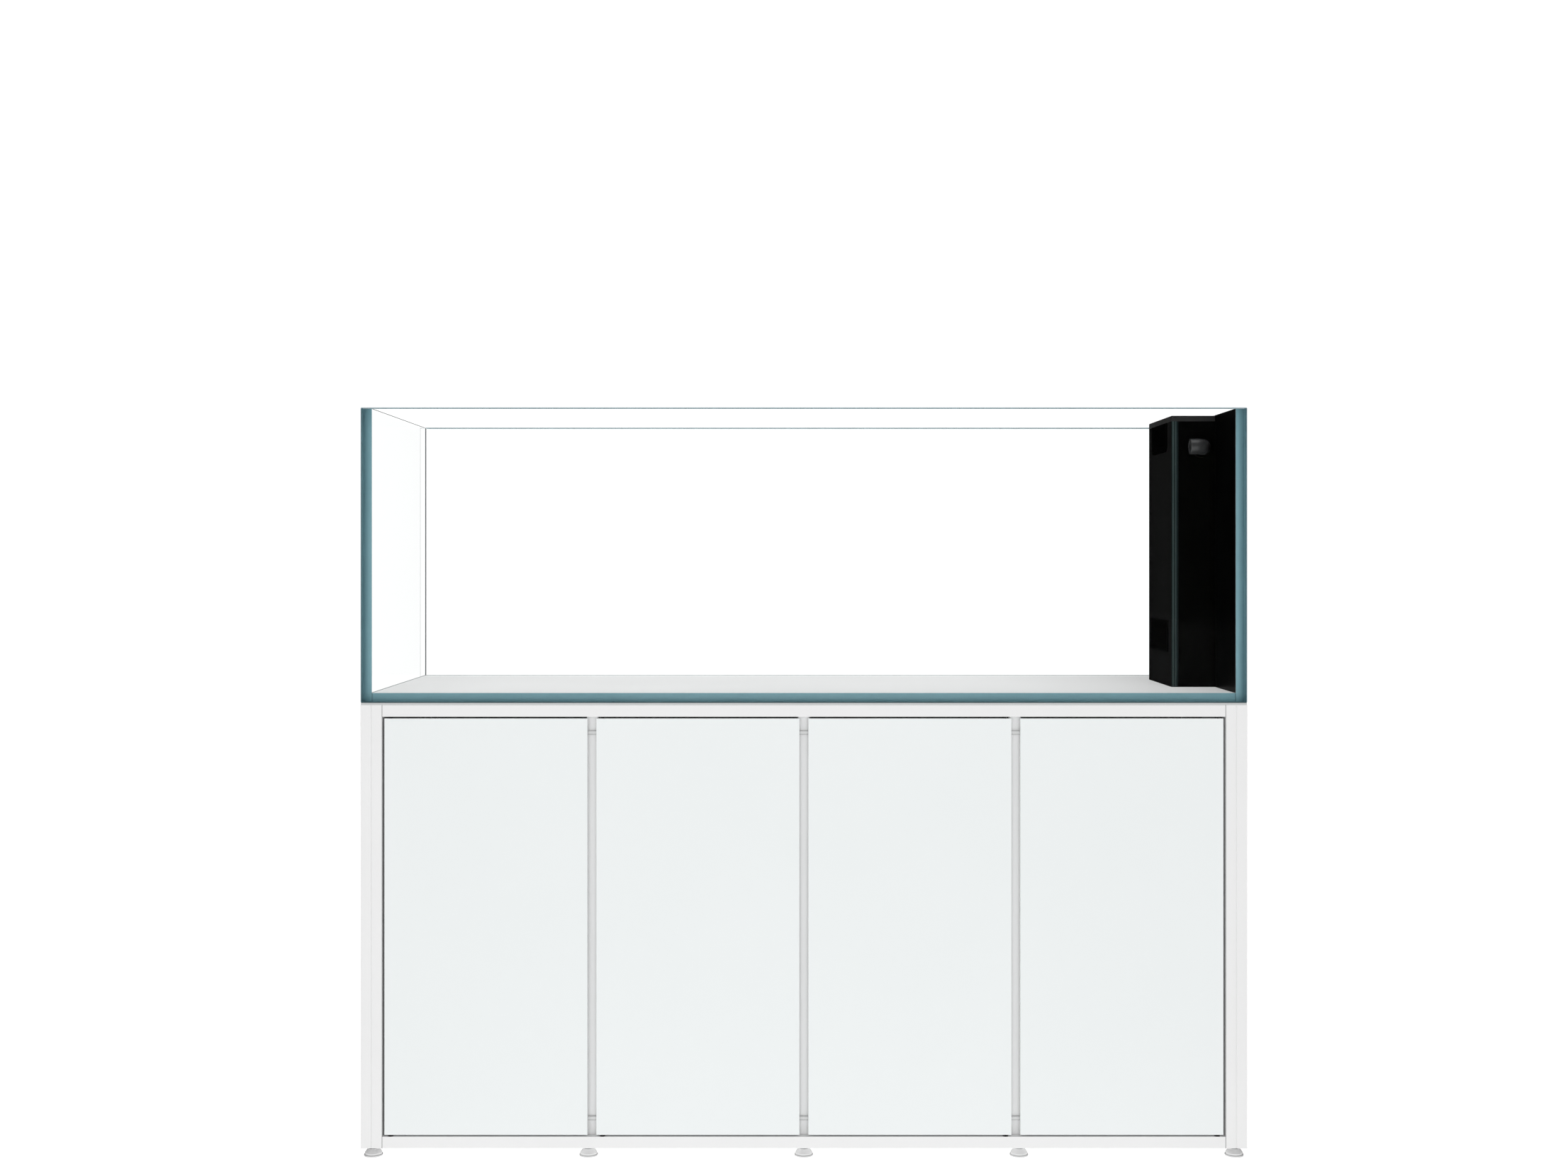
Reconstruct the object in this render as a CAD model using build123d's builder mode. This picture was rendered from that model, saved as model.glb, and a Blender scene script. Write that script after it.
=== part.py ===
from build123d import *
import os
from math import sqrt

os.makedirs("parts", exist_ok=True)

# A rimless glass aquarium with an end overflow, on a levelled aluminium cabinet. Millimetres.
# X runs along the front, the front faces -Y, Z is up and the floor is at Z = 0.

# Glass tank
TANK_LENGTH = 1800.0
TANK_DEPTH = 600.0
TANK_HEIGHT = 600.0
GLASS = 19.0
GLASS_ARRIS = 1.8
SEAM = 1.0
MAT = 4.0
MAT_INSET = 0.8
FILM = 0.5
FILM_BOND = 0.1
FILM_BELOW_RIM = 1.8

# Cabinet frame of closed profiles
FRAME_HEIGHT = 900.0
FOOT_HEIGHT = 20.0
POST = 44.0
RAIL_HEIGHT = 24.0
END_RAIL_DEPTH = 28.0
MULLION_WIDTH = 24.0
BEAM_WIDTH = 28.0
OUTER_BEAM_GAP = 12.0
PROFILE_WALL = 2.5
PROFILE_WEB = 2.0
PROFILE_EDGE = 1.2
CORE_BOSS = 9.0
GROOVE_WIDTH = 3.0
DECK = 12.0
BASE_BOARD = 12.0
BOARD_GAP = 0.5

# Angle brackets and panel clips
BRACKET = 3.0
BRACKET_LONG_LEG = 60.0
BRACKET_SHORT_LEG = 40.0
BRACKET_MARGIN = 3.0
BEAM_BRACKET_LEG = 20.0
CLIP_LEG = 18.0
CLIP_HEIGHT = 24.0
CLIP_INSET = 60.0

# Doors and fixed panels
PANEL = 12.0
PANEL_ARRIS = 0.8
PANEL_GAP = 1.5
REAR_GAP = 3.0
END_GAP = 4.4
GRIP_GAP = 18.0
DOOR_GAP = 3.5
PIVOT_INSET = 12.0
PIN_RADIUS = 3.0
PIN_SEAT = 12.0
PIN_REACH = 8.0
COLLAR_RADIUS = 5.0
BUSH_RADIUS = 4.5
BUSH_FLANGE_RADIUS = 5.5
BUSH_FLANGE = 1.0
BUSH_DEPTH = 9.0
RUNNING = 0.05
CATCH_HEIGHT = 8.7
CATCH = 3.5
CATCH_AIR = 0.5
CATCH_FROM_EDGE = 30.0
CATCH_TONGUE = 25.0
CATCH_TRIM = 1.0
CATCH_CORNER = 1.5
STRIKE = 1.0
STRIKE_WIDTH = 20.0
STRIKE_HEIGHT = 14.0
STRIKE_INSET = 4.0

# Levelling feet
FOOT_RADIUS = 19.0
FOOT_FLANGE = 3.0
FOOT_SHOULDER_RADIUS = 17.2
FOOT_SHOULDER = 7.0
FOOT_NECK_RADIUS = 12.0
FOOT_NECK_EDGE = 1.0
STUD_RADIUS = 4.95
STUD_SEAT = 11.0
SOCKET_RADIUS = 7.0
SOCKET_LENGTH = 18.0
SOCKET_HEX_RADIUS = 11.0
SOCKET_HEX = 4.7

# End overflow
OVERFLOW_SETBACK = 195.0
OVERFLOW_LENGTH = 240.0
OVERFLOW_REACH = 94.0
OVERFLOW_WALL = 15.0
LID = 12.0
LID_BELOW_RIM = 2.0
LID_PLAY = 0.6
LID_EDGE = 1.2
LID_RIM = 4.0
LID_RIM_DEPTH = 6.0
LID_FINGER_RADIUS = 14.0
WEIR_WIDTH = 148.0
WEIR_DEPTH = 57.0
WEIR_CORNER = 12.0
COMB_LIP = 2.0
COMB_LIP_WIDTH = 5.0
COMB_PLUG = 8.0
COMB_PLAY = 0.3
COMB_SLOT = 5.0
COMB_PITCH = 9.0
COMB_SILL = 9.0
SCREEN_WIDTH = 180.0
SCREEN_HEIGHT = 68.0
SCREEN_ABOVE_FLOOR = 73.0
SCREEN = 2.5
SCREEN_BORDER = 8.0
SCREEN_SLOT = 5.0
SCREEN_PITCH = 10.0

# Water circuit
PIPE_WALL = 2.4
DRAIN_RADIUS = 16.0
DRAIN_SHANK = 19.0
DRAIN_FLANGE = 28.0
RETURN_RADIUS = 12.5
RETURN_SHANK = 15.0
RETURN_FLANGE = 22.0
RETURN_BELOW_RIM = 69.5
BULKHEAD_FLANGE = 6.0
BULKHEAD_COLLAR = 16.0
BULKHEAD_TAIL = 24.0
BULKHEAD_STOP = 2.4
OUTLET_FLANGE = 4.0
OUTLET_TAIL = 11.0
OUTLET_STOP = 8.0
NUT = 10.0
NUT_HEX_EXTRA = 5.0
OUTLET_NUT = 6.0
HOLE_PLAY = 1.0
NUT_PLAY = 1.0
MAIN_BELOW_RIM = 98.0
SPARE_BELOW_RIM = 46.0
INLET_SLOT = 6.0
INLET_SLOT_LENGTH = 60.0
INLET_SLOTS = 6
RISER_BEND = 18.0
ELBOW_RADIUS = 16.8
ELBOW_SOCKET = 13.2
ELBOW_SOCKET_DEPTH = 14.0
ELBOW_LEG = 22.0
ELBOW_ARM = 31.0
ELBOW_BEND = 18.0
ELBOW_GAP = 0.4
ELBOW_MOUTH_EDGE = 0.8
PLUMBING_MARGIN = 12.0
RETURN_RUN_DROP = 54.0
RETURN_BEND = 45.0
DRAIN_DIP = 86.0
VALVE_DROP = 234.0
VALVE_RADIUS = 27.0
VALVE_LENGTH = 84.0
VALVE_NECK = 21.0
VALVE_SOCKET = 20.0
VALVE_STEM = 5.0
VALVE_BOSS = 10.0
VALVE_BOSS_REACH = 36.0
VALVE_UNION_RADIUS = 25.0
VALVE_UNION = 20.0
VALVE_UNION_SIDES = 8
LEVER_HUB = 12.0
LEVER_LENGTH = 66.0
LEVER_WIDTH = 15.0
LEVER = 7.0
LEVER_GAP = 0.5
LEVER_SHAFT = 14.0

# Sump and pump
SUMP_LENGTH = 1000.0
SUMP_DEPTH = 400.0
SUMP_HEIGHT = 360.0
SUMP_GLASS = 8.0
SUMP_PIPE_GAP = 3.0
BAFFLE_HEIGHT = 240.0
BAFFLE_RAISE = 40.0
BAFFLE_PITCH = 34.0
DRAIN_CHAMBER = 220.0
PUMP_CHAMBER = 200.0
PUMP_FROM_END = 86.0
PUMP_BASE_LENGTH = 120.0
PUMP_BASE_DEPTH = 78.0
PUMP_BASE = 8.0
PUMP_EDGE = 6.0
MOTOR_RADIUS = 36.0
MOTOR_LENGTH = 92.0
VOLUTE_RADIUS = 40.0
VOLUTE_LENGTH = 30.0
PUMP_OUTLET = 70.0

# Levels
frame_base = FOOT_HEIGHT
frame_top = frame_base + FRAME_HEIGHT
opening_bottom = frame_base + RAIL_HEIGHT
opening_top = frame_top - RAIL_HEIGHT
deck_base = frame_top - DECK
tank_base = frame_top + MAT
tank_floor = tank_base + GLASS
tank_rim = tank_base + TANK_HEIGHT
board_top = opening_bottom + BASE_BOARD

# Plan places
half_length = TANK_LENGTH / 2
half_depth = TANK_DEPTH / 2
post_x = half_length - POST / 2
post_y = half_depth - POST / 2
frame_inner_x = half_length - POST
frame_inner_y = half_depth - POST
end_rail_inner_x = half_length - END_RAIL_DEPTH
glass_inner_x = half_length - GLASS
glass_inner_y = half_depth - GLASS

# Door layout: four doors, with a finger gap in front of each mullion
door_width = (2 * frame_inner_x - 2 * END_GAP - 3 * GRIP_GAP) / 4
door_bottom = opening_bottom + DOOR_GAP
door_top = opening_top - DOOR_GAP
door_pitch = door_width + GRIP_GAP
first_door_x = -frame_inner_x + END_GAP + door_width / 2
door_x = [first_door_x + door_pitch * place for place in range(4)]
hinge_side = [-1, -1, 1, 1]
pivot_x = [x + side * (door_width / 2 - PIVOT_INSET) for x, side in zip(door_x, hinge_side)]
pivot_y = -half_depth + PANEL / 2
mullion_x = [-door_pitch, 0.0, door_pitch]
mullion_setback = PANEL + STRIKE + CATCH_AIR + CATCH
catch_levels = (door_bottom + CATCH_FROM_EDGE, door_top - CATCH_FROM_EDGE)

# Feet stand under the posts, with three more evenly between them along each long side
foot_x = [post_x * share / 2 for share in (-2, -1, 0, 1, 2)]
foot_top = FOOT_HEIGHT - SOCKET_HEX
socket_hole = SOCKET_RADIUS + RUNNING
stud_bore = STUD_RADIUS + RUNNING

# Overflow places
box_front = -half_depth + OVERFLOW_SETBACK
box_rear = box_front + OVERFLOW_LENGTH
box_y = (box_front + box_rear) / 2
film_face = glass_inner_x - FILM_BOND - FILM
box_left = film_face - OVERFLOW_REACH
box_inner_left = box_left + OVERFLOW_WALL
lid_top = tank_rim - LID_BELOW_RIM
box_top = lid_top - LID
weir_sill = box_top - WEIR_DEPTH
screen_z = tank_floor + SCREEN_ABOVE_FLOOR + SCREEN_HEIGHT / 2

# The three floor fittings stand in a row along the box, with equal gaps between their flanges
fitting_gap = (OVERFLOW_LENGTH - 2 * OVERFLOW_WALL - 2 * RETURN_FLANGE - 4 * DRAIN_FLANGE) / 4
return_y = box_front + OVERFLOW_WALL + fitting_gap + RETURN_FLANGE
main_y = return_y + RETURN_FLANGE + fitting_gap + DRAIN_FLANGE
spare_y = main_y + DRAIN_FLANGE + fitting_gap + DRAIN_FLANGE
drain_x = (box_inner_left + film_face) / 2
return_x = end_rail_inner_x - RETURN_SHANK - NUT_HEX_EXTRA - NUT_PLAY
outlet_z = tank_rim - RETURN_BELOW_RIM
plumbing_left = box_inner_left - PLUMBING_MARGIN
plumbing_front = box_front + OVERFLOW_WALL - PLUMBING_MARGIN
plumbing_rear = box_rear - OVERFLOW_WALL + PLUMBING_MARGIN
outer_beam_x = plumbing_left - OUTER_BEAM_GAP - BEAM_WIDTH / 2
beam_x = [-outer_beam_x, *mullion_x, outer_beam_x]

drain_bore = DRAIN_RADIUS - PIPE_WALL
return_bore = RETURN_RADIUS - PIPE_WALL

FROM_BASE = (Align.CENTER, Align.CENTER, Align.MIN)
FROM_TOP = (Align.CENTER, Align.CENTER, Align.MAX)


def write(piece, name):
    piece.label = name
    export_step(piece, f"parts/{name}.step")


def slab(x, y, z):
    """A plain rectangular plate between two places on each axis."""
    with BuildPart() as plate:
        with BuildSketch(Plane.XY.offset(z[0])):
            with Locations(((x[0] + x[1]) / 2, (y[0] + y[1]) / 2)):
                Rectangle(x[1] - x[0], y[1] - y[0])
        extrude(amount=z[1] - z[0])
    return plate.part


def hollow_bar(start, run, across, length, width, height):
    """A closed rectangular profile from a start point along run, with its width laid along across."""
    with BuildPart() as bar:
        with BuildSketch(Plane(origin=start, x_dir=across, z_dir=run)):
            RectangleRounded(width, height, PROFILE_EDGE)
            Rectangle(width - 2 * PROFILE_WALL, height - 2 * PROFILE_WALL, mode=Mode.SUBTRACT)
            Rectangle(PROFILE_WEB, height - PROFILE_WALL)
        extrude(amount=length)
    return bar.part


def angle(corner, x_leg, y_leg, height):
    """An upright angle bracket with its outer corner at a point; each leg's sign gives its direction."""
    x_sign = 1 if x_leg > 0 else -1
    y_sign = 1 if y_leg > 0 else -1
    with BuildPart() as bracket:
        with BuildSketch(Plane(origin=corner)):
            with BuildLine():
                Polyline(
                    (0, 0),
                    (x_leg, 0),
                    (x_leg, y_sign * BRACKET),
                    (x_sign * BRACKET, y_sign * BRACKET),
                    (x_sign * BRACKET, y_leg),
                    (0, y_leg),
                    close=True,
                )
            make_face()
        extrude(amount=height)
    return bracket.part


def pipe(points, radius, bore, bend=0.0):
    """A round pipe along straight runs joined by tangent bends."""
    first, second = Vector(*points[0]), Vector(*points[1])
    with BuildPart() as tube:
        with BuildLine() as route:
            if len(points) > 2:
                FilletPolyline(*points, radius=bend)
            else:
                Line(*points)
        with BuildSketch(Plane(origin=first, z_dir=second - first)):
            Circle(radius)
            Circle(bore, mode=Mode.SUBTRACT)
        sweep(path=route.wires()[0])
    return tube.part


def bulkhead(seat, radius, shank, flange, flange_height, collar, tail, stop):
    """A flanged pipe passage on a seat plane, with a stop ring inside where its two pipes meet."""
    bore = radius + RUNNING
    with BuildPart() as fitting:
        with BuildSketch(seat.offset(-tail)):
            Circle(shank)
            Circle(radius - PIPE_WALL, mode=Mode.SUBTRACT)
        extrude(amount=tail + collar)
        with BuildSketch(seat):
            Circle(flange)
            Circle(shank, mode=Mode.SUBTRACT)
        extrude(amount=flange_height)
        lower_seat = -stop - BULKHEAD_STOP
        for start, depth in ((collar, collar + stop), (lower_seat, tail + lower_seat)):
            with BuildSketch(seat.offset(start)):
                Circle(bore)
            extrude(amount=-depth, mode=Mode.SUBTRACT)
    return fitting.part


def hex_nut(seat, shank, height):
    """A hexagon nut that sits on a plane and is threaded on a shank."""
    with BuildPart() as nut:
        with BuildSketch(seat):
            RegularPolygon(shank + NUT_HEX_EXTRA, 6)
            Circle(shank, mode=Mode.SUBTRACT)
        extrude(amount=height)
    return nut.part


# Corner posts: square profile with cross webs, a screw core and a groove along the middle of each face
for depth_name, y in (("front", -post_y), ("rear", post_y)):
    for side_name, x in (("left", -post_x), ("right", post_x)):
        with BuildPart() as post:
            with BuildSketch(Plane.XY.offset(frame_base)):
                with Locations((x, y)):
                    RectangleRounded(POST, POST, PROFILE_EDGE)
                    Rectangle(POST - 2 * PROFILE_WALL, POST - 2 * PROFILE_WALL, mode=Mode.SUBTRACT)
                    Rectangle(POST - PROFILE_WALL, PROFILE_WEB)
                    Rectangle(PROFILE_WEB, POST - PROFILE_WALL)
                    Circle(CORE_BOSS)
                    Circle(stud_bore, mode=Mode.SUBTRACT)
                    with PolarLocations(POST / 2, 4):
                        Rectangle(
                            GROOVE_WIDTH / sqrt(2),
                            GROOVE_WIDTH / sqrt(2),
                            rotation=45,
                            mode=Mode.SUBTRACT,
                        )
            extrude(amount=FRAME_HEIGHT)
            with Locations((x, y, frame_base)):
                Cylinder(socket_hole, SOCKET_LENGTH, align=FROM_BASE, mode=Mode.SUBTRACT)
        write(post.part, f"post_{depth_name}_{side_name}")

# Long rails: the bottom ones take the middle feet, and the front ones take the door pivots
for depth_name, y in (("front", -post_y), ("rear", post_y)):
    for level_name, z in (("bottom", frame_base), ("top", opening_top)):
        with BuildPart() as long_rail:
            add(
                hollow_bar(
                    (-frame_inner_x, y, z + RAIL_HEIGHT / 2),
                    (1, 0, 0),
                    (0, 1, 0),
                    2 * frame_inner_x,
                    POST,
                    RAIL_HEIGHT,
                )
            )
            if level_name == "bottom":
                with Locations(*[(x, y, frame_base) for x in foot_x[1:-1]]):
                    Cylinder(socket_hole, SOCKET_LENGTH, align=FROM_BASE, mode=Mode.SUBTRACT)
            if depth_name == "front" and level_name == "bottom":
                with Locations(*[(x, pivot_y, opening_bottom) for x in pivot_x]):
                    Cylinder(BUSH_RADIUS, BUSH_DEPTH, align=FROM_TOP, mode=Mode.SUBTRACT)
            if depth_name == "front" and level_name == "top":
                with Locations(*[(x, pivot_y, opening_top) for x in pivot_x]):
                    Cylinder(BUSH_RADIUS, BUSH_DEPTH, align=FROM_BASE, mode=Mode.SUBTRACT)
        write(long_rail.part, f"{level_name}_rail_{depth_name}")

# End rails between the posts, at the bottom and the top of each end
with BuildPart() as end_rails:
    for x in (-half_length + END_RAIL_DEPTH / 2, half_length - END_RAIL_DEPTH / 2):
        for z in (frame_base, opening_top):
            add(
                hollow_bar(
                    (x, -frame_inner_y, z + RAIL_HEIGHT / 2),
                    (0, 1, 0),
                    (1, 0, 0),
                    2 * frame_inner_y,
                    END_RAIL_DEPTH,
                    RAIL_HEIGHT,
                )
            )
write(end_rails.part, "end_rails")

# Mullions: the front ones stand back behind the finger gaps, and the rear ones carry the rear panels
front_mullion_depth = POST - mullion_setback
rear_mullion_depth = POST - PANEL
with BuildPart() as mullions:
    for x in mullion_x:
        for y, depth in (
            (-frame_inner_y - front_mullion_depth / 2, front_mullion_depth),
            (frame_inner_y + rear_mullion_depth / 2, rear_mullion_depth),
        ):
            add(
                hollow_bar(
                    (x, y, opening_bottom),
                    (0, 0, 1),
                    (1, 0, 0),
                    opening_top - opening_bottom,
                    MULLION_WIDTH,
                    depth,
                )
            )
write(mullions.part, "mullions")

# Cross beams: the upper ones carry the deck under the tank, the lower ones the base board
with BuildPart() as cross_beams:
    for x in beam_x:
        for z in (frame_base, deck_base - RAIL_HEIGHT):
            add(
                hollow_bar(
                    (x, -frame_inner_y, z + RAIL_HEIGHT / 2),
                    (0, 1, 0),
                    (1, 0, 0),
                    2 * frame_inner_y,
                    BEAM_WIDTH,
                    RAIL_HEIGHT,
                )
            )
write(cross_beams.part, "cross_beams")

# Top deck: cut away at the corners for the brackets and at the right end for the pipes
deck_x = end_rail_inner_x - BOARD_GAP
deck_y = frame_inner_y - BOARD_GAP
with BuildPart() as top_deck:
    with BuildSketch(Plane.XY.offset(deck_base)):
        Rectangle(2 * deck_x, 2 * deck_y)
        with GridLocations(2 * end_rail_inner_x, 2 * frame_inner_y, 2, 2):
            Rectangle(
                2 * (BRACKET_LONG_LEG + BRACKET),
                2 * (BRACKET_SHORT_LEG + BRACKET),
                mode=Mode.SUBTRACT,
            )
        with Locations(((plumbing_left + half_length) / 2, (plumbing_front + plumbing_rear) / 2)):
            Rectangle(
                half_length - plumbing_left,
                plumbing_rear - plumbing_front,
                mode=Mode.SUBTRACT,
            )
    extrude(amount=DECK)
write(top_deck.part, "top_deck")

# Base board inside the cabinet, on the lower beams
base_board = slab((-deck_x, deck_x), (-deck_y, deck_y), (opening_bottom, board_top))
write(base_board, "base_board")

# Side panels, flush between the posts at each end
panel_z = (opening_bottom + PANEL_GAP, opening_top - PANEL_GAP)
for side_name, side in (("left", -1), ("right", 1)):
    with BuildPart() as side_panel:
        with BuildSketch(Plane.YZ.offset(side * half_length)):
            with Locations((0, (panel_z[0] + panel_z[1]) / 2)):
                Rectangle(2 * (frame_inner_y - PANEL_GAP), panel_z[1] - panel_z[0])
        extrude(amount=-side * PANEL)
        chamfer(side_panel.faces().sort_by(Axis.X)[-1 if side > 0 else 0].edges(), PANEL_ARRIS)
    write(side_panel.part, f"side_panel_{side_name}")

# Rear panels, one to each bay, fixed to the rear mullions
rear_width = (2 * frame_inner_x - 5 * REAR_GAP) / 4
with BuildPart() as rear_panels:
    with BuildSketch(Plane.XZ.offset(-half_depth)):
        with Locations((0, (panel_z[0] + panel_z[1]) / 2)):
            with GridLocations(rear_width + REAR_GAP, 0, 4, 1):
                Rectangle(rear_width, panel_z[1] - panel_z[0])
    extrude(amount=PANEL)
    chamfer(rear_panels.faces().group_by(Axis.Y)[-1].edges(), PANEL_ARRIS)
write(rear_panels.part, "rear_panels")

# Angle brackets: each frame corner, each beam end, and clips on the posts that hold the fixed panels
bracket_height = RAIL_HEIGHT - 2 * BRACKET_MARGIN
beam_seat = opening_top + BRACKET_MARGIN
beam_bracket_height = deck_base - beam_seat - BRACKET_MARGIN
clip_levels = (
    opening_bottom + CLIP_INSET,
    (opening_bottom + opening_top - CLIP_HEIGHT) / 2,
    opening_top - CLIP_INSET - CLIP_HEIGHT,
)
with BuildPart() as angle_brackets:
    for side in (-1, 1):
        for y_side in (-1, 1):
            for z in (frame_base, opening_top):
                corner = (side * end_rail_inner_x, y_side * frame_inner_y, z + BRACKET_MARGIN)
                add(angle(corner, -side * BRACKET_LONG_LEG, -y_side * BRACKET_SHORT_LEG, bracket_height))
            for z in clip_levels:
                corner = (side * (half_length - PANEL), y_side * frame_inner_y, z)
                add(angle(corner, -side * CLIP_LEG, -y_side * CLIP_LEG, CLIP_HEIGHT))
        for z in clip_levels:
            corner = (side * frame_inner_x, half_depth - PANEL, z)
            add(angle(corner, -side * CLIP_LEG, -CLIP_LEG, CLIP_HEIGHT))
    for x in beam_x:
        for y_side in (-1, 1):
            for z, height in (
                (frame_base + BRACKET_MARGIN, bracket_height),
                (beam_seat, beam_bracket_height),
            ):
                corner = (x + BEAM_WIDTH / 2, y_side * frame_inner_y, z)
                add(angle(corner, BEAM_BRACKET_LEG, -y_side * BEAM_BRACKET_LEG, height))
write(angle_brackets.part, "angle_brackets")

# Doors: a flush panel with a blind hole for a pivot pin in its top and bottom edges
for number, (x, axis_x, side) in enumerate(zip(door_x, pivot_x, hinge_side), start=1):
    with BuildPart() as door:
        with BuildSketch(Plane.XZ.offset(half_depth)):
            with Locations((x, (door_bottom + door_top) / 2)):
                Rectangle(door_width, door_top - door_bottom)
        extrude(amount=-PANEL)
        chamfer(door.faces().sort_by(Axis.Y)[0].edges(), PANEL_ARRIS)
        with Locations((axis_x, pivot_y, door_bottom)):
            Cylinder(PIN_RADIUS, PIN_SEAT, align=FROM_BASE, mode=Mode.SUBTRACT)
        with Locations((axis_x, pivot_y, door_top)):
            Cylinder(PIN_RADIUS, PIN_SEAT, align=FROM_TOP, mode=Mode.SUBTRACT)
    write(door.part, f"door_{number}")

    # Pivot pins, the lower one with the collar that carries the door, and strike plates for the catches
    free_x = x - side * (door_width / 2 - STRIKE_INSET - STRIKE_WIDTH / 2)
    pin_bottom = opening_bottom - PIN_REACH
    pin_length = PIN_REACH + DOOR_GAP + PIN_SEAT
    collar_base = opening_bottom + BUSH_FLANGE
    with BuildPart() as door_fittings:
        with Locations((axis_x, pivot_y, pin_bottom), (axis_x, pivot_y, door_top - PIN_SEAT)):
            Cylinder(PIN_RADIUS, pin_length, align=FROM_BASE)
        with Locations((axis_x, pivot_y, collar_base)):
            Cylinder(COLLAR_RADIUS, door_bottom - collar_base, align=FROM_BASE)
        with BuildSketch(Plane.XZ.offset(half_depth - PANEL)):
            with Locations(*[(free_x, z) for z in catch_levels]):
                Rectangle(STRIKE_WIDTH, STRIKE_HEIGHT)
        extrude(amount=-STRIKE)
    write(door_fittings.part, f"door_{number}_fittings")

# Flanged pivot bushes, one under and one over each door
with BuildPart() as pivot_bushes:
    for x in pivot_x:
        for z, up in ((opening_bottom, 1), (opening_top, -1)):
            with BuildSketch(Plane(origin=(x, pivot_y, z), z_dir=(0, 0, up))):
                Circle(BUSH_FLANGE_RADIUS)
                Circle(PIN_RADIUS + RUNNING, mode=Mode.SUBTRACT)
            extrude(amount=BUSH_FLANGE)
            with BuildSketch(Plane(origin=(x, pivot_y, z), z_dir=(0, 0, -up))):
                Circle(BUSH_RADIUS)
                Circle(PIN_RADIUS + RUNNING, mode=Mode.SUBTRACT)
            extrude(amount=BUSH_DEPTH)
write(pivot_bushes.part, "pivot_bushes")

# Magnetic catch plates on the front mullions, each with a tongue behind every free door edge beside it
with BuildPart() as catch_plates:
    for place, x in enumerate(mullion_x):
        left_free = hinge_side[place] < 0
        right_free = hinge_side[place + 1] > 0
        left = x - GRIP_GAP / 2 + (CATCH_TRIM if not left_free else -CATCH_TONGUE)
        right = x + GRIP_GAP / 2 + (CATCH_TONGUE if right_free else -CATCH_TRIM)
        with BuildSketch(Plane.XZ.offset(half_depth - mullion_setback)):
            with Locations(*[((left + right) / 2, z) for z in catch_levels]):
                RectangleRounded(right - left, CATCH_HEIGHT, CATCH_CORNER)
        extrude(amount=CATCH)
write(catch_plates.part, "catch_plates")

# Levelling feet: a coned base with a thin floor flange, on a threaded stud
for depth_name, y in (("front", -post_y), ("rear", post_y)):
    for number, x in enumerate(foot_x, start=1):
        foot_axis = Axis((x, y, 0), (0, 0, 1))
        with BuildPart() as foot:
            with BuildSketch(Plane(origin=(x, y, 0), x_dir=(1, 0, 0), z_dir=(0, -1, 0))):
                with BuildLine():
                    Polyline(
                        (0, 0),
                        (FOOT_RADIUS, 0),
                        (FOOT_RADIUS, FOOT_FLANGE),
                        (FOOT_SHOULDER_RADIUS, FOOT_FLANGE),
                        (FOOT_SHOULDER_RADIUS, FOOT_SHOULDER),
                        (FOOT_NECK_RADIUS, foot_top - FOOT_NECK_EDGE),
                        (FOOT_NECK_RADIUS, foot_top),
                        (STUD_RADIUS, foot_top),
                        (STUD_RADIUS, foot_top - STUD_SEAT),
                        (0, foot_top - STUD_SEAT),
                        close=True,
                    )
                make_face()
            revolve(axis=foot_axis)
        with BuildPart() as stud:
            with BuildSketch(Plane.XY.offset(foot_top - STUD_SEAT)):
                with Locations((x, y)):
                    Circle(STUD_RADIUS)
            extrude(amount=STUD_SEAT + SOCKET_HEX + SOCKET_LENGTH)
        levelling_foot = Compound(children=[foot.part, stud.part])
        write(levelling_foot, f"foot_{depth_name}_{number}")

# Threaded sockets in the underside of the frame, each with a hexagon flange that the foot screws up to
with BuildPart() as foot_sockets:
    for y in (-post_y, post_y):
        for x in foot_x:
            with BuildSketch(Plane.XY.offset(foot_top)):
                with Locations((x, y)):
                    RegularPolygon(SOCKET_HEX_RADIUS, 6)
                    Circle(stud_bore, mode=Mode.SUBTRACT)
            extrude(amount=SOCKET_HEX)
            with BuildSketch(Plane.XY.offset(frame_base)):
                with Locations((x, y)):
                    Circle(SOCKET_RADIUS)
                    Circle(stud_bore, mode=Mode.SUBTRACT)
            extrude(amount=SOCKET_LENGTH)
write(foot_sockets.part, "foot_sockets")

# Levelling mat under the whole tank, open at the right end for the pipes
with BuildPart() as levelling_mat:
    with BuildSketch(Plane.XY.offset(frame_top)):
        Rectangle(TANK_LENGTH - 2 * MAT_INSET, TANK_DEPTH - 2 * MAT_INSET)
        with Locations(
            ((plumbing_left + end_rail_inner_x) / 2, (plumbing_front + plumbing_rear) / 2)
        ):
            Rectangle(
                end_rail_inner_x - plumbing_left,
                plumbing_rear - plumbing_front,
                mode=Mode.SUBTRACT,
            )
    extrude(amount=MAT)
write(levelling_mat.part, "levelling_mat")

# Front and rear panes run the whole length, with polished arrises
for depth_name, side in (("front", -1), ("rear", 1)):
    with BuildPart() as long_pane:
        with BuildSketch(Plane.XZ.offset(-side * half_depth)):
            with Locations((0, tank_base + TANK_HEIGHT / 2)):
                Rectangle(TANK_LENGTH, TANK_HEIGHT)
        extrude(amount=side * GLASS)
        chamfer(long_pane.edges(), GLASS_ARRIS)
    write(long_pane.part, f"{depth_name}_pane")

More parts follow.
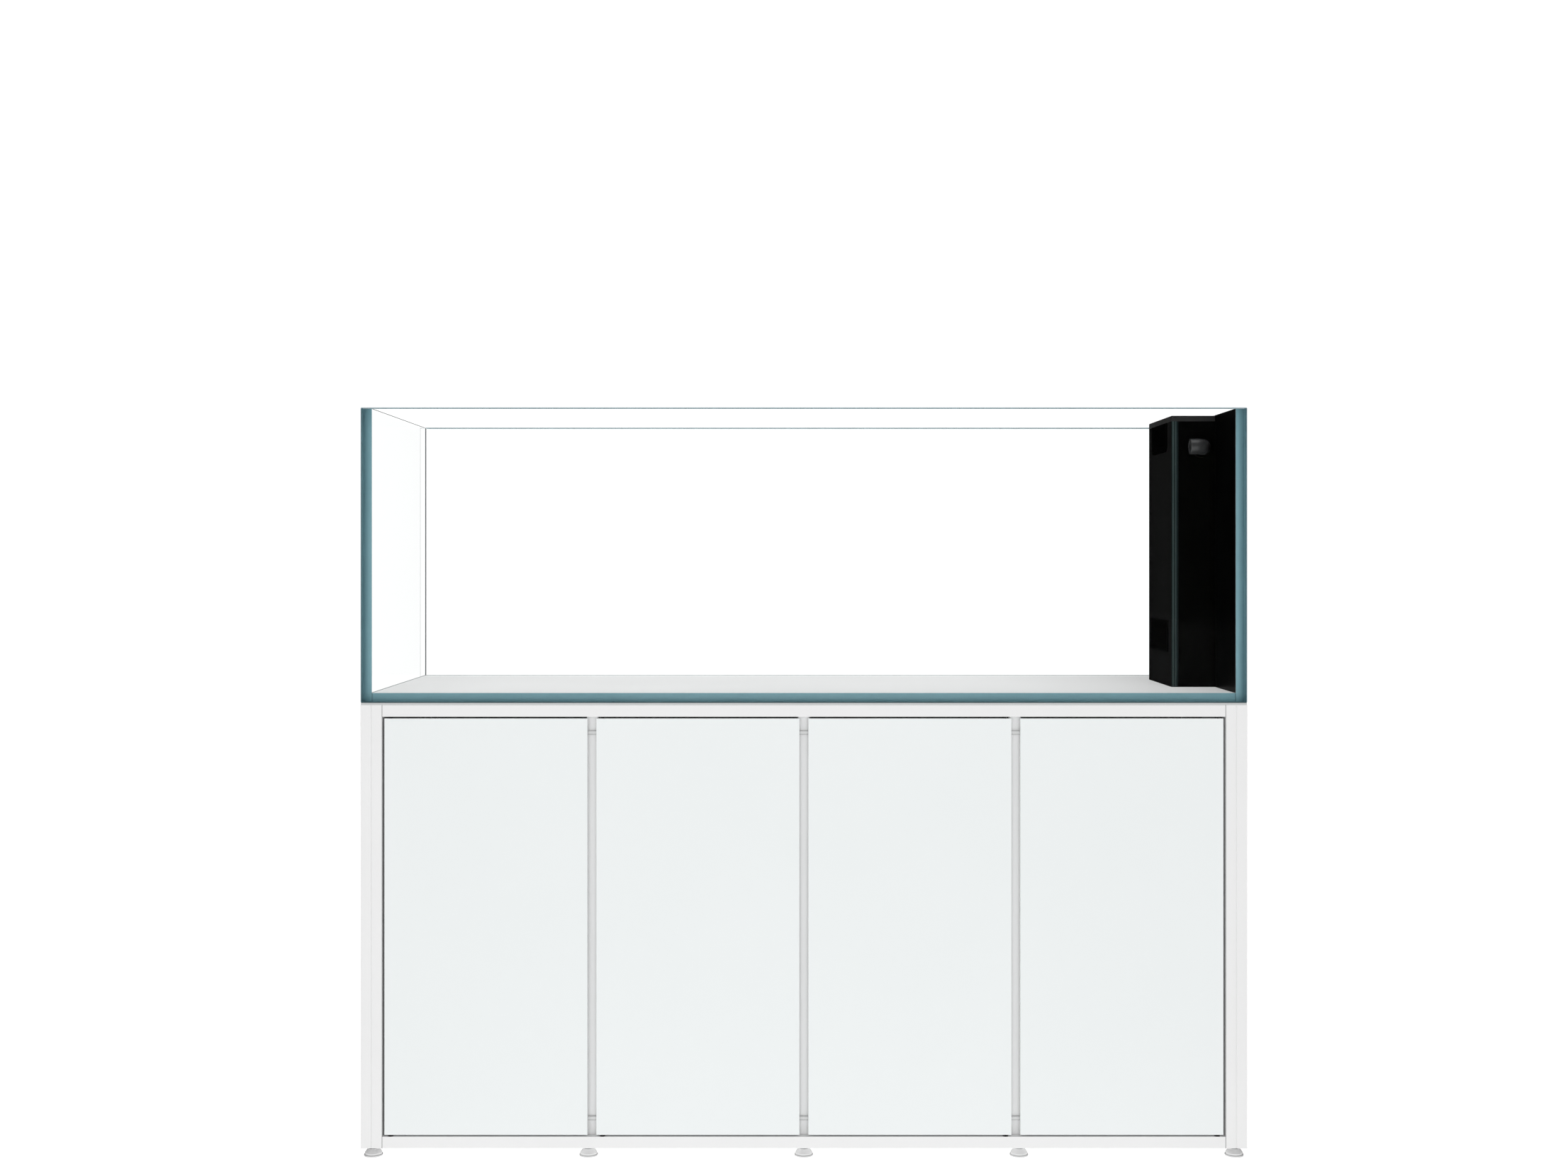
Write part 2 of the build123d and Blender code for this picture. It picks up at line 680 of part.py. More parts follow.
# End panes stand between them, bonded by the silicone seams
end_pane_y = glass_inner_y - SEAM
for side_name, side in (("left", -1), ("right", 1)):
    with BuildPart() as end_pane:
        with BuildSketch(Plane.YZ.offset(side * half_length)):
            with Locations((0, tank_base + TANK_HEIGHT / 2)):
                Rectangle(2 * end_pane_y, TANK_HEIGHT)
        extrude(amount=-side * GLASS)
        chamfer(end_pane.edges().filter_by(Axis.Y), GLASS_ARRIS)
    write(end_pane.part, f"{side_name}_pane")

# Bottom pane inside the four walls, drilled for the bulkheads
bottom_x = glass_inner_x - SEAM
with BuildPart() as bottom_pane:
    with BuildSketch(Plane.XY.offset(tank_base)):
        Rectangle(2 * bottom_x, 2 * end_pane_y)
        with Locations((drain_x, main_y), (drain_x, spare_y)):
            Circle(DRAIN_SHANK + HOLE_PLAY, mode=Mode.SUBTRACT)
        with Locations((return_x, return_y)):
            Circle(RETURN_SHANK + HOLE_PLAY, mode=Mode.SUBTRACT)
    extrude(amount=GLASS)
write(bottom_pane.part, "bottom_pane")

# Silicone seams fill the joints between the panes
seam_x = (glass_inner_x, half_length - GLASS_ARRIS)
seam_z = (tank_base + GLASS_ARRIS, tank_rim - GLASS_ARRIS)
seams = []
for y in (-glass_inner_y, end_pane_y):
    seams.append(slab((-seam_x[1], -seam_x[0]), (y, y + SEAM), seam_z))
    seams.append(slab(seam_x, (y, y + SEAM), seam_z))
    seams.append(slab((-glass_inner_x, glass_inner_x), (y, y + SEAM), (tank_base + GLASS_ARRIS, tank_floor)))
for x in (-glass_inner_x, bottom_x):
    seams.append(slab((x, x + SEAM), (-end_pane_y, end_pane_y), (tank_base + GLASS_ARRIS, tank_floor)))
write(Compound(children=seams), "silicone_seams")

# Black film on the inside of the right end pane
end_film = slab(
    (film_face, film_face + FILM),
    (-end_pane_y, end_pane_y),
    (tank_floor + SEAM, tank_rim - FILM_BELOW_RIM),
)
write(end_film, "end_film")

# Weir panel of the overflow: an open notch at the top and a window low down
with BuildPart() as weir_panel:
    with BuildSketch(Plane.YZ.offset(box_left)):
        with Locations((box_y, (tank_floor + box_top) / 2)):
            Rectangle(OVERFLOW_LENGTH, box_top - tank_floor)
        with BuildSketch(mode=Mode.SUBTRACT) as notch:
            with Locations((box_y, box_top)):
                Rectangle(WEIR_WIDTH, 2 * WEIR_DEPTH)
            fillet(notch.vertices().group_by(Axis.Y)[0], WEIR_CORNER)
        with Locations((box_y, screen_z)):
            Rectangle(
                SCREEN_WIDTH - 2 * SCREEN_BORDER,
                SCREEN_HEIGHT - 2 * SCREEN_BORDER,
                mode=Mode.SUBTRACT,
            )
    extrude(amount=OVERFLOW_WALL)
write(weir_panel.part, "overflow_weir_panel")

# Front and rear panels close the overflow box; the front one is bored for the return outlet
for depth_name, y in (("front", box_front), ("rear", box_rear - OVERFLOW_WALL)):
    with BuildPart() as end_panel:
        add(slab((box_inner_left, film_face), (y, y + OVERFLOW_WALL), (tank_floor, box_top)))
        if depth_name == "front":
            with BuildSketch(Plane.XZ.offset(-y)):
                with Locations((return_x, outlet_z)):
                    Circle(RETURN_SHANK + HOLE_PLAY)
            extrude(amount=-OVERFLOW_WALL, mode=Mode.SUBTRACT)
    write(end_panel.part, f"overflow_{depth_name}_panel")

# Lid: a plate over the box with a locating rim inside it and a finger hole
rim_x = (box_inner_left + LID_PLAY, film_face - LID_PLAY)
rim_y = (box_front + OVERFLOW_WALL + LID_PLAY, box_rear - OVERFLOW_WALL - LID_PLAY)
rim_centre = ((rim_x[0] + rim_x[1]) / 2, (rim_y[0] + rim_y[1]) / 2)
with BuildPart() as overflow_lid:
    with BuildSketch(Plane.XY.offset(box_top)):
        with Locations(((box_left + rim_x[1]) / 2, box_y)):
            Rectangle(rim_x[1] - box_left, OVERFLOW_LENGTH)
    extrude(amount=LID)
    chamfer(overflow_lid.faces().sort_by(Axis.Z)[-1].edges(), LID_EDGE)
    with BuildSketch(Plane.XY.offset(box_top)):
        with Locations(rim_centre):
            Rectangle(rim_x[1] - rim_x[0], rim_y[1] - rim_y[0])
            Rectangle(
                rim_x[1] - rim_x[0] - 2 * LID_RIM,
                rim_y[1] - rim_y[0] - 2 * LID_RIM,
                mode=Mode.SUBTRACT,
            )
    extrude(amount=-LID_RIM_DEPTH)
    with Locations((*rim_centre, lid_top)):
        Cylinder(LID_FINGER_RADIUS, LID, align=FROM_TOP, mode=Mode.SUBTRACT)
write(overflow_lid.part, "overflow_lid")

# Weir comb: a lipped plug that drops into the notch, slotted so that only water passes
comb_top = box_top - COMB_PLAY
comb_slots = int((WEIR_WIDTH - 2 * COMB_SILL) / COMB_PITCH)
comb_slot_length = comb_top - weir_sill - COMB_SILL
with BuildPart() as weir_comb:
    for start, depth, grow in (
        (box_left - COMB_LIP, COMB_LIP, COMB_LIP_WIDTH),
        (box_left, COMB_PLUG, -COMB_PLAY),
    ):
        floor_z = weir_sill - max(grow, 0)
        with BuildSketch(Plane.YZ.offset(start)):
            with BuildSketch() as plug:
                with Locations((box_y, (floor_z + comb_top) / 2)):
                    Rectangle(WEIR_WIDTH + 2 * grow, comb_top - floor_z)
                fillet(plug.vertices().group_by(Axis.Y)[0], WEIR_CORNER + grow)
        extrude(amount=depth)
    with BuildSketch(Plane.YZ.offset(box_left - COMB_LIP)):
        with Locations((box_y, comb_top - comb_slot_length / 2)):
            with GridLocations(COMB_PITCH, 0, comb_slots, 1):
                Rectangle(COMB_SLOT, comb_slot_length)
    extrude(amount=COMB_LIP + COMB_PLUG, mode=Mode.SUBTRACT)
write(weir_comb.part, "weir_comb")

# Intake screen: a slotted plate over the lower window
screen_slots = int((SCREEN_WIDTH - 2 * SCREEN_BORDER) / SCREEN_PITCH)
with BuildPart() as intake_screen:
    with BuildSketch(Plane.YZ.offset(box_left)):
        with Locations((box_y, screen_z)):
            Rectangle(SCREEN_WIDTH, SCREEN_HEIGHT)
            with GridLocations(SCREEN_PITCH, 0, screen_slots, 1):
                Rectangle(SCREEN_SLOT, SCREEN_HEIGHT - 2 * SCREEN_BORDER, mode=Mode.SUBTRACT)
    extrude(amount=-SCREEN)
write(intake_screen.part, "intake_screen")

# Bulkheads: three through the tank floor and one through the overflow's front panel, with their nuts
floor_fittings = [
    (drain_x, main_y, DRAIN_RADIUS, DRAIN_SHANK, DRAIN_FLANGE),
    (drain_x, spare_y, DRAIN_RADIUS, DRAIN_SHANK, DRAIN_FLANGE),
    (return_x, return_y, RETURN_RADIUS, RETURN_SHANK, RETURN_FLANGE),
]
fittings = []
for x, y, radius, shank, flange in floor_fittings:
    seat = Plane(origin=(x, y, tank_floor))
    tail = GLASS + BULKHEAD_TAIL
    fittings.append(bulkhead(seat, radius, shank, flange, BULKHEAD_FLANGE, BULKHEAD_COLLAR, tail, 0))
    fittings.append(hex_nut(Plane(origin=(x, y, tank_base - NUT)), shank, NUT))
outlet_seat = Plane(origin=(return_x, box_front, outlet_z), x_dir=(1, 0, 0), z_dir=(0, -1, 0))
outlet_tail = OVERFLOW_WALL + OUTLET_TAIL
fittings.append(
    bulkhead(
        outlet_seat,
        RETURN_RADIUS,
        RETURN_SHANK,
        RETURN_FLANGE,
        OUTLET_FLANGE,
        OUTLET_FLANGE,
        outlet_tail,
        OUTLET_STOP,
    )
)
fittings.append(hex_nut(outlet_seat.offset(-OVERFLOW_WALL - OUTLET_NUT), RETURN_SHANK, OUTLET_NUT))
write(Compound(children=fittings), "bulkheads")

# Standpipes in the overflow: the main one draws through slots, the spare one stands open and higher
main_top = tank_rim - MAIN_BELOW_RIM
with BuildPart() as main_standpipe:
    add(pipe([(drain_x, main_y, tank_floor), (drain_x, main_y, main_top)], DRAIN_RADIUS, drain_bore))
    with Locations((drain_x, main_y, main_top - INLET_SLOT_LENGTH)):
        with PolarLocations(DRAIN_RADIUS, INLET_SLOTS):
            Box(DRAIN_RADIUS, INLET_SLOT, INLET_SLOT_LENGTH / 2, mode=Mode.SUBTRACT)
spare_top = tank_rim - SPARE_BELOW_RIM
spare_standpipe = pipe(
    [(drain_x, spare_y, tank_floor), (drain_x, spare_y, spare_top)], DRAIN_RADIUS, drain_bore
)
write(Compound(children=[main_standpipe.part, spare_standpipe]), "standpipes")

# Sump panes on the base board, with baffles between the drain and pump chambers
sump_right = drain_x + DRAIN_RADIUS + SUMP_PIPE_GAP + SUMP_GLASS
sump_left = sump_right - SUMP_LENGTH
sump_floor = board_top + SUMP_GLASS
sump_rim = board_top + SUMP_HEIGHT
sump_y = SUMP_DEPTH / 2
sump_inner_y = sump_y - SUMP_GLASS
sump_panes = [slab((sump_left, sump_right), (-sump_y, sump_y), (board_top, sump_floor))]
for y in (-sump_y, sump_inner_y):
    sump_panes.append(slab((sump_left, sump_right), (y, y + SUMP_GLASS), (sump_floor, sump_rim)))
for x in (sump_left, sump_right - SUMP_GLASS):
    sump_panes.append(slab((x, x + SUMP_GLASS), (-sump_inner_y, sump_inner_y), (sump_floor, sump_rim)))
trap_x = sump_right - DRAIN_CHAMBER
baffle_top = sump_floor + BAFFLE_HEIGHT
for x, base, top in (
    (trap_x, sump_floor, baffle_top),
    (trap_x - BAFFLE_PITCH, sump_floor + BAFFLE_RAISE, baffle_top + BAFFLE_RAISE),
    (trap_x - 2 * BAFFLE_PITCH, sump_floor, baffle_top),
    (sump_left + PUMP_CHAMBER, sump_floor, baffle_top),
):
    sump_panes.append(slab((x, x + SUMP_GLASS), (-sump_inner_y, sump_inner_y), (base, top)))
write(Compound(children=sump_panes), "sump_tank")

# Return pump in the left chamber: motor, volute and a base plate in one sealed housing
pump_x = sump_left + PUMP_FROM_END
motor_z = sump_floor + PUMP_BASE + VOLUTE_RADIUS
outlet_top = motor_z + PUMP_OUTLET
outlet_x = pump_x + (MOTOR_LENGTH + VOLUTE_LENGTH) / 2 - VOLUTE_LENGTH / 2
motor_start = pump_x - (MOTOR_LENGTH + VOLUTE_LENGTH) / 2
with BuildPart() as return_pump:
    with BuildSketch(Plane.XY.offset(sump_floor)):
        with Locations((pump_x, return_y)):
            RectangleRounded(PUMP_BASE_LENGTH, PUMP_BASE_DEPTH, PUMP_EDGE)
    extrude(amount=PUMP_BASE)
    with BuildSketch(Plane.YZ.offset(motor_start)):
        with Locations((return_y, motor_z)):
            Circle(MOTOR_RADIUS)
    extrude(amount=MOTOR_LENGTH)
    fillet(return_pump.edges().filter_by(GeomType.CIRCLE).sort_by(Axis.X)[0], PUMP_EDGE)
    with BuildSketch(Plane.YZ.offset(motor_start + MOTOR_LENGTH)):
        with Locations((return_y, motor_z)):
            Circle(VOLUTE_RADIUS)
    extrude(amount=VOLUTE_LENGTH)
    with BuildSketch(Plane.XY.offset(sump_floor)):
        with Locations((pump_x, return_y)):
            Rectangle(MOTOR_LENGTH, MOTOR_RADIUS)
    extrude(amount=PUMP_BASE + VOLUTE_RADIUS)
    with BuildSketch(Plane.XY.offset(motor_z)):
        with Locations((outlet_x, return_y)):
            Circle(RETURN_SHANK)
    extrude(amount=PUMP_OUTLET)
    with Locations((outlet_x, return_y, outlet_top)):
        Cylinder(RETURN_RADIUS + RUNNING, BULKHEAD_COLLAR, align=FROM_TOP, mode=Mode.SUBTRACT)
write(return_pump.part, "return_pump")

# Return pipe: from the pump up and along under the deck to the bulkhead, then up inside the overflow
return_run_z = deck_base - RAIL_HEIGHT - RETURN_RUN_DROP
lower_return = pipe(
    [
        (outlet_x, return_y, outlet_top - BULKHEAD_COLLAR),
        (outlet_x, return_y, return_run_z),
        (return_x, return_y, return_run_z),
        (return_x, return_y, tank_floor - BULKHEAD_STOP),
    ],
    RETURN_RADIUS,
    return_bore,
    RETURN_BEND,
)
upper_return = pipe(
    [
        (return_x, return_y, tank_floor),
        (return_x, return_y, outlet_z),
        (return_x, box_front + OUTLET_STOP + BULKHEAD_STOP, outlet_z),
    ],
    RETURN_RADIUS,
    return_bore,
    RISER_BEND,
)
write(Compound(children=[lower_return, upper_return]), "return_pipe")

# Return elbow: a spigot that swivels in the outlet, and an open arm that points along the tank
elbow_back = box_front - OUTLET_FLANGE - ELBOW_GAP
elbow_y = elbow_back - ELBOW_LEG
spigot_end = box_front + OUTLET_STOP - ELBOW_GAP
mouth_x = return_x - ELBOW_ARM
with BuildPart() as return_elbow:
    bend_route = [
        (return_x, elbow_back, outlet_z),
        (return_x, elbow_y, outlet_z),
        (mouth_x, elbow_y, outlet_z),
    ]
    add(pipe(bend_route, ELBOW_RADIUS, return_bore, ELBOW_BEND))
    add(pipe([(return_x, spigot_end, outlet_z), (return_x, elbow_back, outlet_z)], RETURN_RADIUS, return_bore))
    with BuildSketch(Plane(origin=(mouth_x, elbow_y, outlet_z), z_dir=(1, 0, 0))):
        Circle(ELBOW_SOCKET)
    extrude(amount=ELBOW_SOCKET_DEPTH, mode=Mode.SUBTRACT)
    mouth_rings = return_elbow.edges().filter_by(GeomType.CIRCLE).group_by(Axis.X)[0]
    fillet(mouth_rings.sort_by(SortBy.RADIUS)[-1], ELBOW_MOUTH_EDGE)
write(return_elbow.part, "return_elbow")

# Drain lines: the main one has a ball valve, and both end under the sump's rim
valve_z = tank_base - VALVE_DROP
drain_end = sump_rim - DRAIN_DIP
valve_top = valve_z + VALVE_LENGTH / 2
valve_bottom = valve_z - VALVE_LENGTH / 2
drain_start = tank_floor - BULKHEAD_STOP
stem_face = main_y - VALVE_BOSS_REACH
drain_runs = []
for y, low, high in (
    (main_y, valve_top - VALVE_SOCKET, drain_start),
    (main_y, drain_end, valve_bottom + VALVE_SOCKET),
    (spare_y, drain_end, drain_start),
):
    drain_runs.append(pipe([(drain_x, y, low), (drain_x, y, high)], DRAIN_RADIUS, drain_bore))
with BuildPart() as valve_body:
    with BuildSketch(Plane.XY.offset(valve_bottom)):
        with Locations((drain_x, main_y)):
            Circle(VALVE_NECK)
    extrude(amount=VALVE_LENGTH)
    for union_z in (valve_bottom, valve_top - VALVE_UNION):
        with BuildSketch(Plane.XY.offset(union_z)):
            with Locations((drain_x, main_y)):
                RegularPolygon(VALVE_UNION_RADIUS, VALVE_UNION_SIDES)
        extrude(amount=VALVE_UNION)
    with Locations((drain_x, main_y, valve_z)):
        Sphere(VALVE_RADIUS)
    with BuildSketch(Plane.XZ.offset(-stem_face)):
        with Locations((drain_x, valve_z)):
            Circle(VALVE_BOSS)
    extrude(until=Until.NEXT, dir=(0, 1, 0))
    with Locations((drain_x, main_y, valve_bottom)):
        Cylinder(drain_bore, VALVE_LENGTH, align=FROM_BASE, mode=Mode.SUBTRACT)
        Cylinder(DRAIN_RADIUS + RUNNING, VALVE_SOCKET, align=FROM_BASE, mode=Mode.SUBTRACT)
    with Locations((drain_x, main_y, valve_top)):
        Cylinder(DRAIN_RADIUS + RUNNING, VALVE_SOCKET, align=FROM_TOP, mode=Mode.SUBTRACT)
    with BuildSketch(Plane.XZ.offset(-stem_face)):
        with Locations((drain_x, valve_z)):
            Circle(VALVE_STEM + RUNNING)
    extrude(amount=-LEVER_SHAFT, mode=Mode.SUBTRACT)
write(Compound(children=[*drain_runs, valve_body.part]), "drain_lines")

# Valve lever: a hub on the stem and a paddle that stands in line with the pipe when the valve is open
lever_back = stem_face - LEVER_GAP
with BuildPart() as valve_lever:
    with BuildSketch(Plane.XZ.offset(-lever_back)):
        with Locations((drain_x, valve_z)):
            Circle(LEVER_HUB)
        with Locations((drain_x, valve_z + LEVER_LENGTH / 2)):
            SlotOverall(LEVER_LENGTH + LEVER_WIDTH, LEVER_WIDTH, rotation=90)
    extrude(amount=LEVER)
    fillet(valve_lever.faces().sort_by(Axis.Y)[0].edges(), LEVER / 4)
    with BuildSketch(Plane.XZ.offset(-lever_back)):
        with Locations((drain_x, valve_z)):
            Circle(VALVE_STEM)
    extrude(amount=-(LEVER_SHAFT + LEVER_GAP - RUNNING))
write(valve_lever.part, "valve_lever")
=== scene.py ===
# %% [markdown]
# # A rimless aquarium on its stand
# The solids of the aquarium come in as a fixed frame. This lesson gives each of them its finish,
# adds the small things that a maker fits last, and sets up the camera and the light of a plain
# studio.

# %% Load the frame
import bpy
from math import radians
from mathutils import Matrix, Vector


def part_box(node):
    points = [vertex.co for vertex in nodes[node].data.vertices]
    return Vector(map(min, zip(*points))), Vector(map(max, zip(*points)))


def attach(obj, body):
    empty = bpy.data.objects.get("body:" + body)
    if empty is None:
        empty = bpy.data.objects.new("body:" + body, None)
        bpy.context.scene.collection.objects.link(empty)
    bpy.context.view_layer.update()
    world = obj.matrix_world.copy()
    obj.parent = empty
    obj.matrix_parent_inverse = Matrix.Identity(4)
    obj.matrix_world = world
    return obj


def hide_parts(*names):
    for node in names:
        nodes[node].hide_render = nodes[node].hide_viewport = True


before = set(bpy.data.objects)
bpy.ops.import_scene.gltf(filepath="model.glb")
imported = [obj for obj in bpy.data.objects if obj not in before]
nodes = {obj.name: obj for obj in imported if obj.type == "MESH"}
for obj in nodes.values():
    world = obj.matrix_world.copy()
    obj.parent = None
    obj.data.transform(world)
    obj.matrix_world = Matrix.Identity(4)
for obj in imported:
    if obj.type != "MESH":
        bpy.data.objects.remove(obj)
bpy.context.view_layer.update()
bpy.ops.object.select_all(action="DESELECT")

# %% [markdown]
# ## Camera
# The picture is a straight front view in one-point perspective. The glass edges that run back from
# the front meet at one point, which gives the camera's height, and the size of the far panes
# against the near ones gives its distance. A small vertical shift keeps the uprights upright while
# the object sits low in the frame.

# %% Camera
IMAGE_WIDTH = 2212
SHIFT_PIXELS = 42
CAMERA_PLACE = (-0.0404, -4.041, 1.2178)
SENSOR_WIDTH = 36
LENS = 42.33
camera = bpy.data.objects.new("camera", bpy.data.cameras.new("camera"))
bpy.context.scene.collection.objects.link(camera)
camera.location = CAMERA_PLACE
camera.rotation_euler = (radians(90), 0, 0)
camera.data.sensor_width = SENSOR_WIDTH
camera.data.lens = LENS
camera.data.shift_y = -SHIFT_PIXELS / IMAGE_WIDTH
bpy.context.scene.camera = camera
print("camera at", tuple(round(v, 3) for v in camera.location))

# %% [markdown]
# ## Studio
# A product shot on white: the floor is a bright table, and the room is bright to look at and soft
# to be lit by. What the polished faces mirror is kept darker, as a photographer does with black
# flags beside the camera, so that the glass stays clear and the black overflow stays black. The
# floor and the lights in front and behind don't show in them either, only the light overhead.

# %% Floor and room
FLOOR_PLACE = (0, -16.0, 0)
FLOOR_SIZE = (16, 50, 1)
FLOOR_GREY = 0.8
FLOOR_ROUGHNESS = 0.9
FLOOR_GLOW = 0.75
ROOM_SEEN = 1.08
ROOM_MIRRORED = 0.05
ROOM_LIT = 0.463


def grey(level):
    return (level, level, level)


bpy.ops.mesh.primitive_plane_add(size=1, location=FLOOR_PLACE)
floor = bpy.context.object
floor.name = "studio_floor"
floor.scale = FLOOR_SIZE
bpy.ops.object.transform_apply(location=True, rotation=True, scale=True)
floor_paint = bpy.data.materials.new("studio_floor")
floor_paint.use_nodes = True
paint = floor_paint.node_tree.nodes["Principled BSDF"]
paint.inputs["Base Color"].default_value = (*grey(FLOOR_GREY), 1)
paint.inputs["Roughness"].default_value = FLOOR_ROUGHNESS
paint.inputs["Specular IOR Level"].default_value = 0.0
paint.inputs["Emission Color"].default_value = (1, 1, 1, 1)
paint.inputs["Emission Strength"].default_value = FLOOR_GLOW
floor.data.materials.append(floor_paint)
floor.visible_glossy = False

world = bpy.data.worlds.new("room")
bpy.context.scene.world = world
world.use_nodes = True
room = world.node_tree
room.nodes.clear()


def room_light(strength):
    made = room.nodes.new("ShaderNodeBackground")
    made.inputs["Color"].default_value = (1, 1, 1, 1)
    made.inputs["Strength"].default_value = strength
    return made.outputs[0]


def room_choice(switch, other, chosen):
    made = room.nodes.new("ShaderNodeMixShader")
    for socket, wire in zip(made.inputs, (switch, other, chosen)):
        room.links.new(wire, socket)
    return made.outputs[0]


def after_bounce(kind):
    """One where a ray has met a surface of that kind on its way, and nought before."""
    made = room.nodes.new("ShaderNodeMath")
    made.operation = "GREATER_THAN"
    room.links.new(ray.outputs[kind], made.inputs[0])
    made.inputs[1].default_value = 0.5
    return made.outputs[0]


ray = room.nodes.new("ShaderNodeLightPath")
seen = room_light(ROOM_SEEN)
mirrored = room_light(ROOM_MIRRORED)
lit = room_light(ROOM_LIT)
choice = room_choice(after_bounce("Glossy Depth"), seen, mirrored)
choice = room_choice(after_bounce("Diffuse Depth"), choice, lit)
out = room.nodes.new("ShaderNodeOutputWorld")
room.links.new(choice, out.inputs["Surface"])
print("floor", tuple(floor.dimensions))


# %% Lights
def soft_light(name, place, aim, size, power):
    """A rectangular lamp that looks from its place towards the aim, with its power in watts."""
    lamp = bpy.data.lights.new(name, "AREA")
    lamp.shape = "RECTANGLE"
    lamp.size, lamp.size_y = size
    lamp.energy = power
    made = bpy.data.objects.new(name, lamp)
    bpy.context.scene.collection.objects.link(made)
    made.location = place
    made.rotation_euler = (Vector(aim) - Vector(place)).to_track_quat("-Z", "Y").to_euler()
    return made


overhead = soft_light("overhead", (0, -0.6, 3.6), (0, 0, 1.2), (3.4, 1.6), 25)
key = soft_light("key", (-3.0, -3.4, 2.6), (0, 0, 0.8), (1.6, 1.6), 6)
fill = soft_light("fill", (0, -5.2, 1.3), (0, 0, 0.8), (3.2, 2.0), 36)
rear = soft_light("rear", (0, 5.2, 1.6), (0, 0, 0.6), (3.2, 2.0), 24)
rear.visible_camera = rear.visible_transmission = False
for lamp in (key, fill, rear):
    lamp.visible_glossy = False
bpy.context.scene.view_settings.view_transform = "Standard"
bpy.context.scene.view_settings.look = "None"
bpy.context.scene.cycles.use_denoising = True
print("lights", overhead.name, key.name, fill.name, rear.name)

# %% [markdown]
# ## Shader sums
# A finish is a small tree of nodes. Wrapping a socket in a class with operators lets the sums be
# written as plain Python, and one method adds any other node, with its settings first and its
# sockets after.


# %% Sockets that can be added up
class Wire:
    """A socket that takes part in sums."""

    def __init__(self, tree, socket):
        self.tree = tree
        self.socket = socket

    def node(self, kind, settings={}, inputs={}, output=0):
        made = self.tree.nodes.new(kind)
        for name, value in settings.items():
            setattr(made, name, value)
        for name, value in inputs.items():
            if isinstance(value, Wire):
                self.tree.links.new(value.socket, made.inputs[name])
            else:
                made.inputs[name].default_value = value
        return Wire(self.tree, made.outputs[output])

    def sum(self, operation, second=0.0):
        return self.node("ShaderNodeMath", {"operation": operation}, {0: self, 1: second})

    def __add__(self, other):
        return self.sum("ADD", other)

    def __sub__(self, other):
        return self.sum("SUBTRACT", other)

    def __mul__(self, other):
        return self.sum("MULTIPLY", other)

    def __gt__(self, other):
        return self.sum("GREATER_THAN", other)

    def __lt__(self, other):
        return self.sum("LESS_THAN", other)

    def __abs__(self):
        return self.sum("ABSOLUTE")

    __radd__ = __add__

    def axis(self, name):
        return self.node("ShaderNodeSeparateXYZ", inputs={0: self}, output=name)

    def noise(self, scale, detail=2.0):
        inputs = {"Vector": self, "Scale": scale, "Detail": detail}
        return self.node("ShaderNodeTexNoise", inputs=inputs)

    def stretched(self, x, y, z):
        return self.node("ShaderNodeMapping", inputs={"Vector": self, "Scale": (x, y, z)})

    def ramp(self, start, stop):
        """Nought at start, one at stop, and straight between them."""
        inputs = {"Value": self, "From Min": start, "From Max": stop}
        return self.node("ShaderNodeMapRange", inputs=inputs)

    def beside(self, level, half):
        """One within half of a level on either side of the middle, and nought elsewhere."""
        return abs(abs(self) - level) < half

    def between(self, first, second):
        """Mixes two colours by this value, each a wire or three numbers."""
        colours = [c if isinstance(c, Wire) else (*c, 1.0) for c in (first, second)]
        inputs = {0: self, 6: colours[0], 7: colours[1]}
        return self.node("ShaderNodeMix", {"data_type": "RGBA"}, inputs, output=2)


class Finish:
    """A material with its shader, and the place on the piece that its patterns read."""

    def __init__(self, name, **constants):
        self.material = bpy.data.materials.new(name)
        self.material.use_nodes = True
        tree = self.material.node_tree
        self.shader = tree.nodes["Principled BSDF"]
        self.place = Wire(tree, tree.nodes.new("ShaderNodeTexCoord").outputs["Object"])
        for socket, value in constants.items():
            self.shader.inputs[socket.replace("_", " ")].default_value = value

    def feed(self, socket, wire):
        wire.tree.links.new(wire.socket, self.shader.inputs[socket])

    def bump(self, height, distance, strength):
        inputs = {"Height": height, "Distance": distance, "Strength": strength}
        self.feed("Normal", height.node("ShaderNodeBump", inputs=inputs))


# %% [markdown]
# Most finishes are alike: noise moves the tone between two colours, and with it the roughness from
# a first value by some rise. One function makes them, and keeps the noise and the tone for what
# else a finish needs.


# %% Mottled finishes
def mottled(name, scale, colours, sheen, detail=2.0, stretch=(1, 1, 1), **constants):
    finish = Finish(name, **constants)
    place = finish.place if stretch == (1, 1, 1) else finish.place.stretched(*stretch)
    finish.noise = place.noise(scale, detail)
    finish.tone = finish.noise.between(*colours)
    finish.feed("Base Color", finish.tone)
    first, rise = sheen
    finish.feed("Roughness", first + finish.noise * rise)
    return finish


def dress(finish, *names):
    for name in names:
        nodes[name].data.materials.clear()
        nodes[name].data.materials.append(finish.material)
    print(finish.material.name, "on", len(names), "solids")
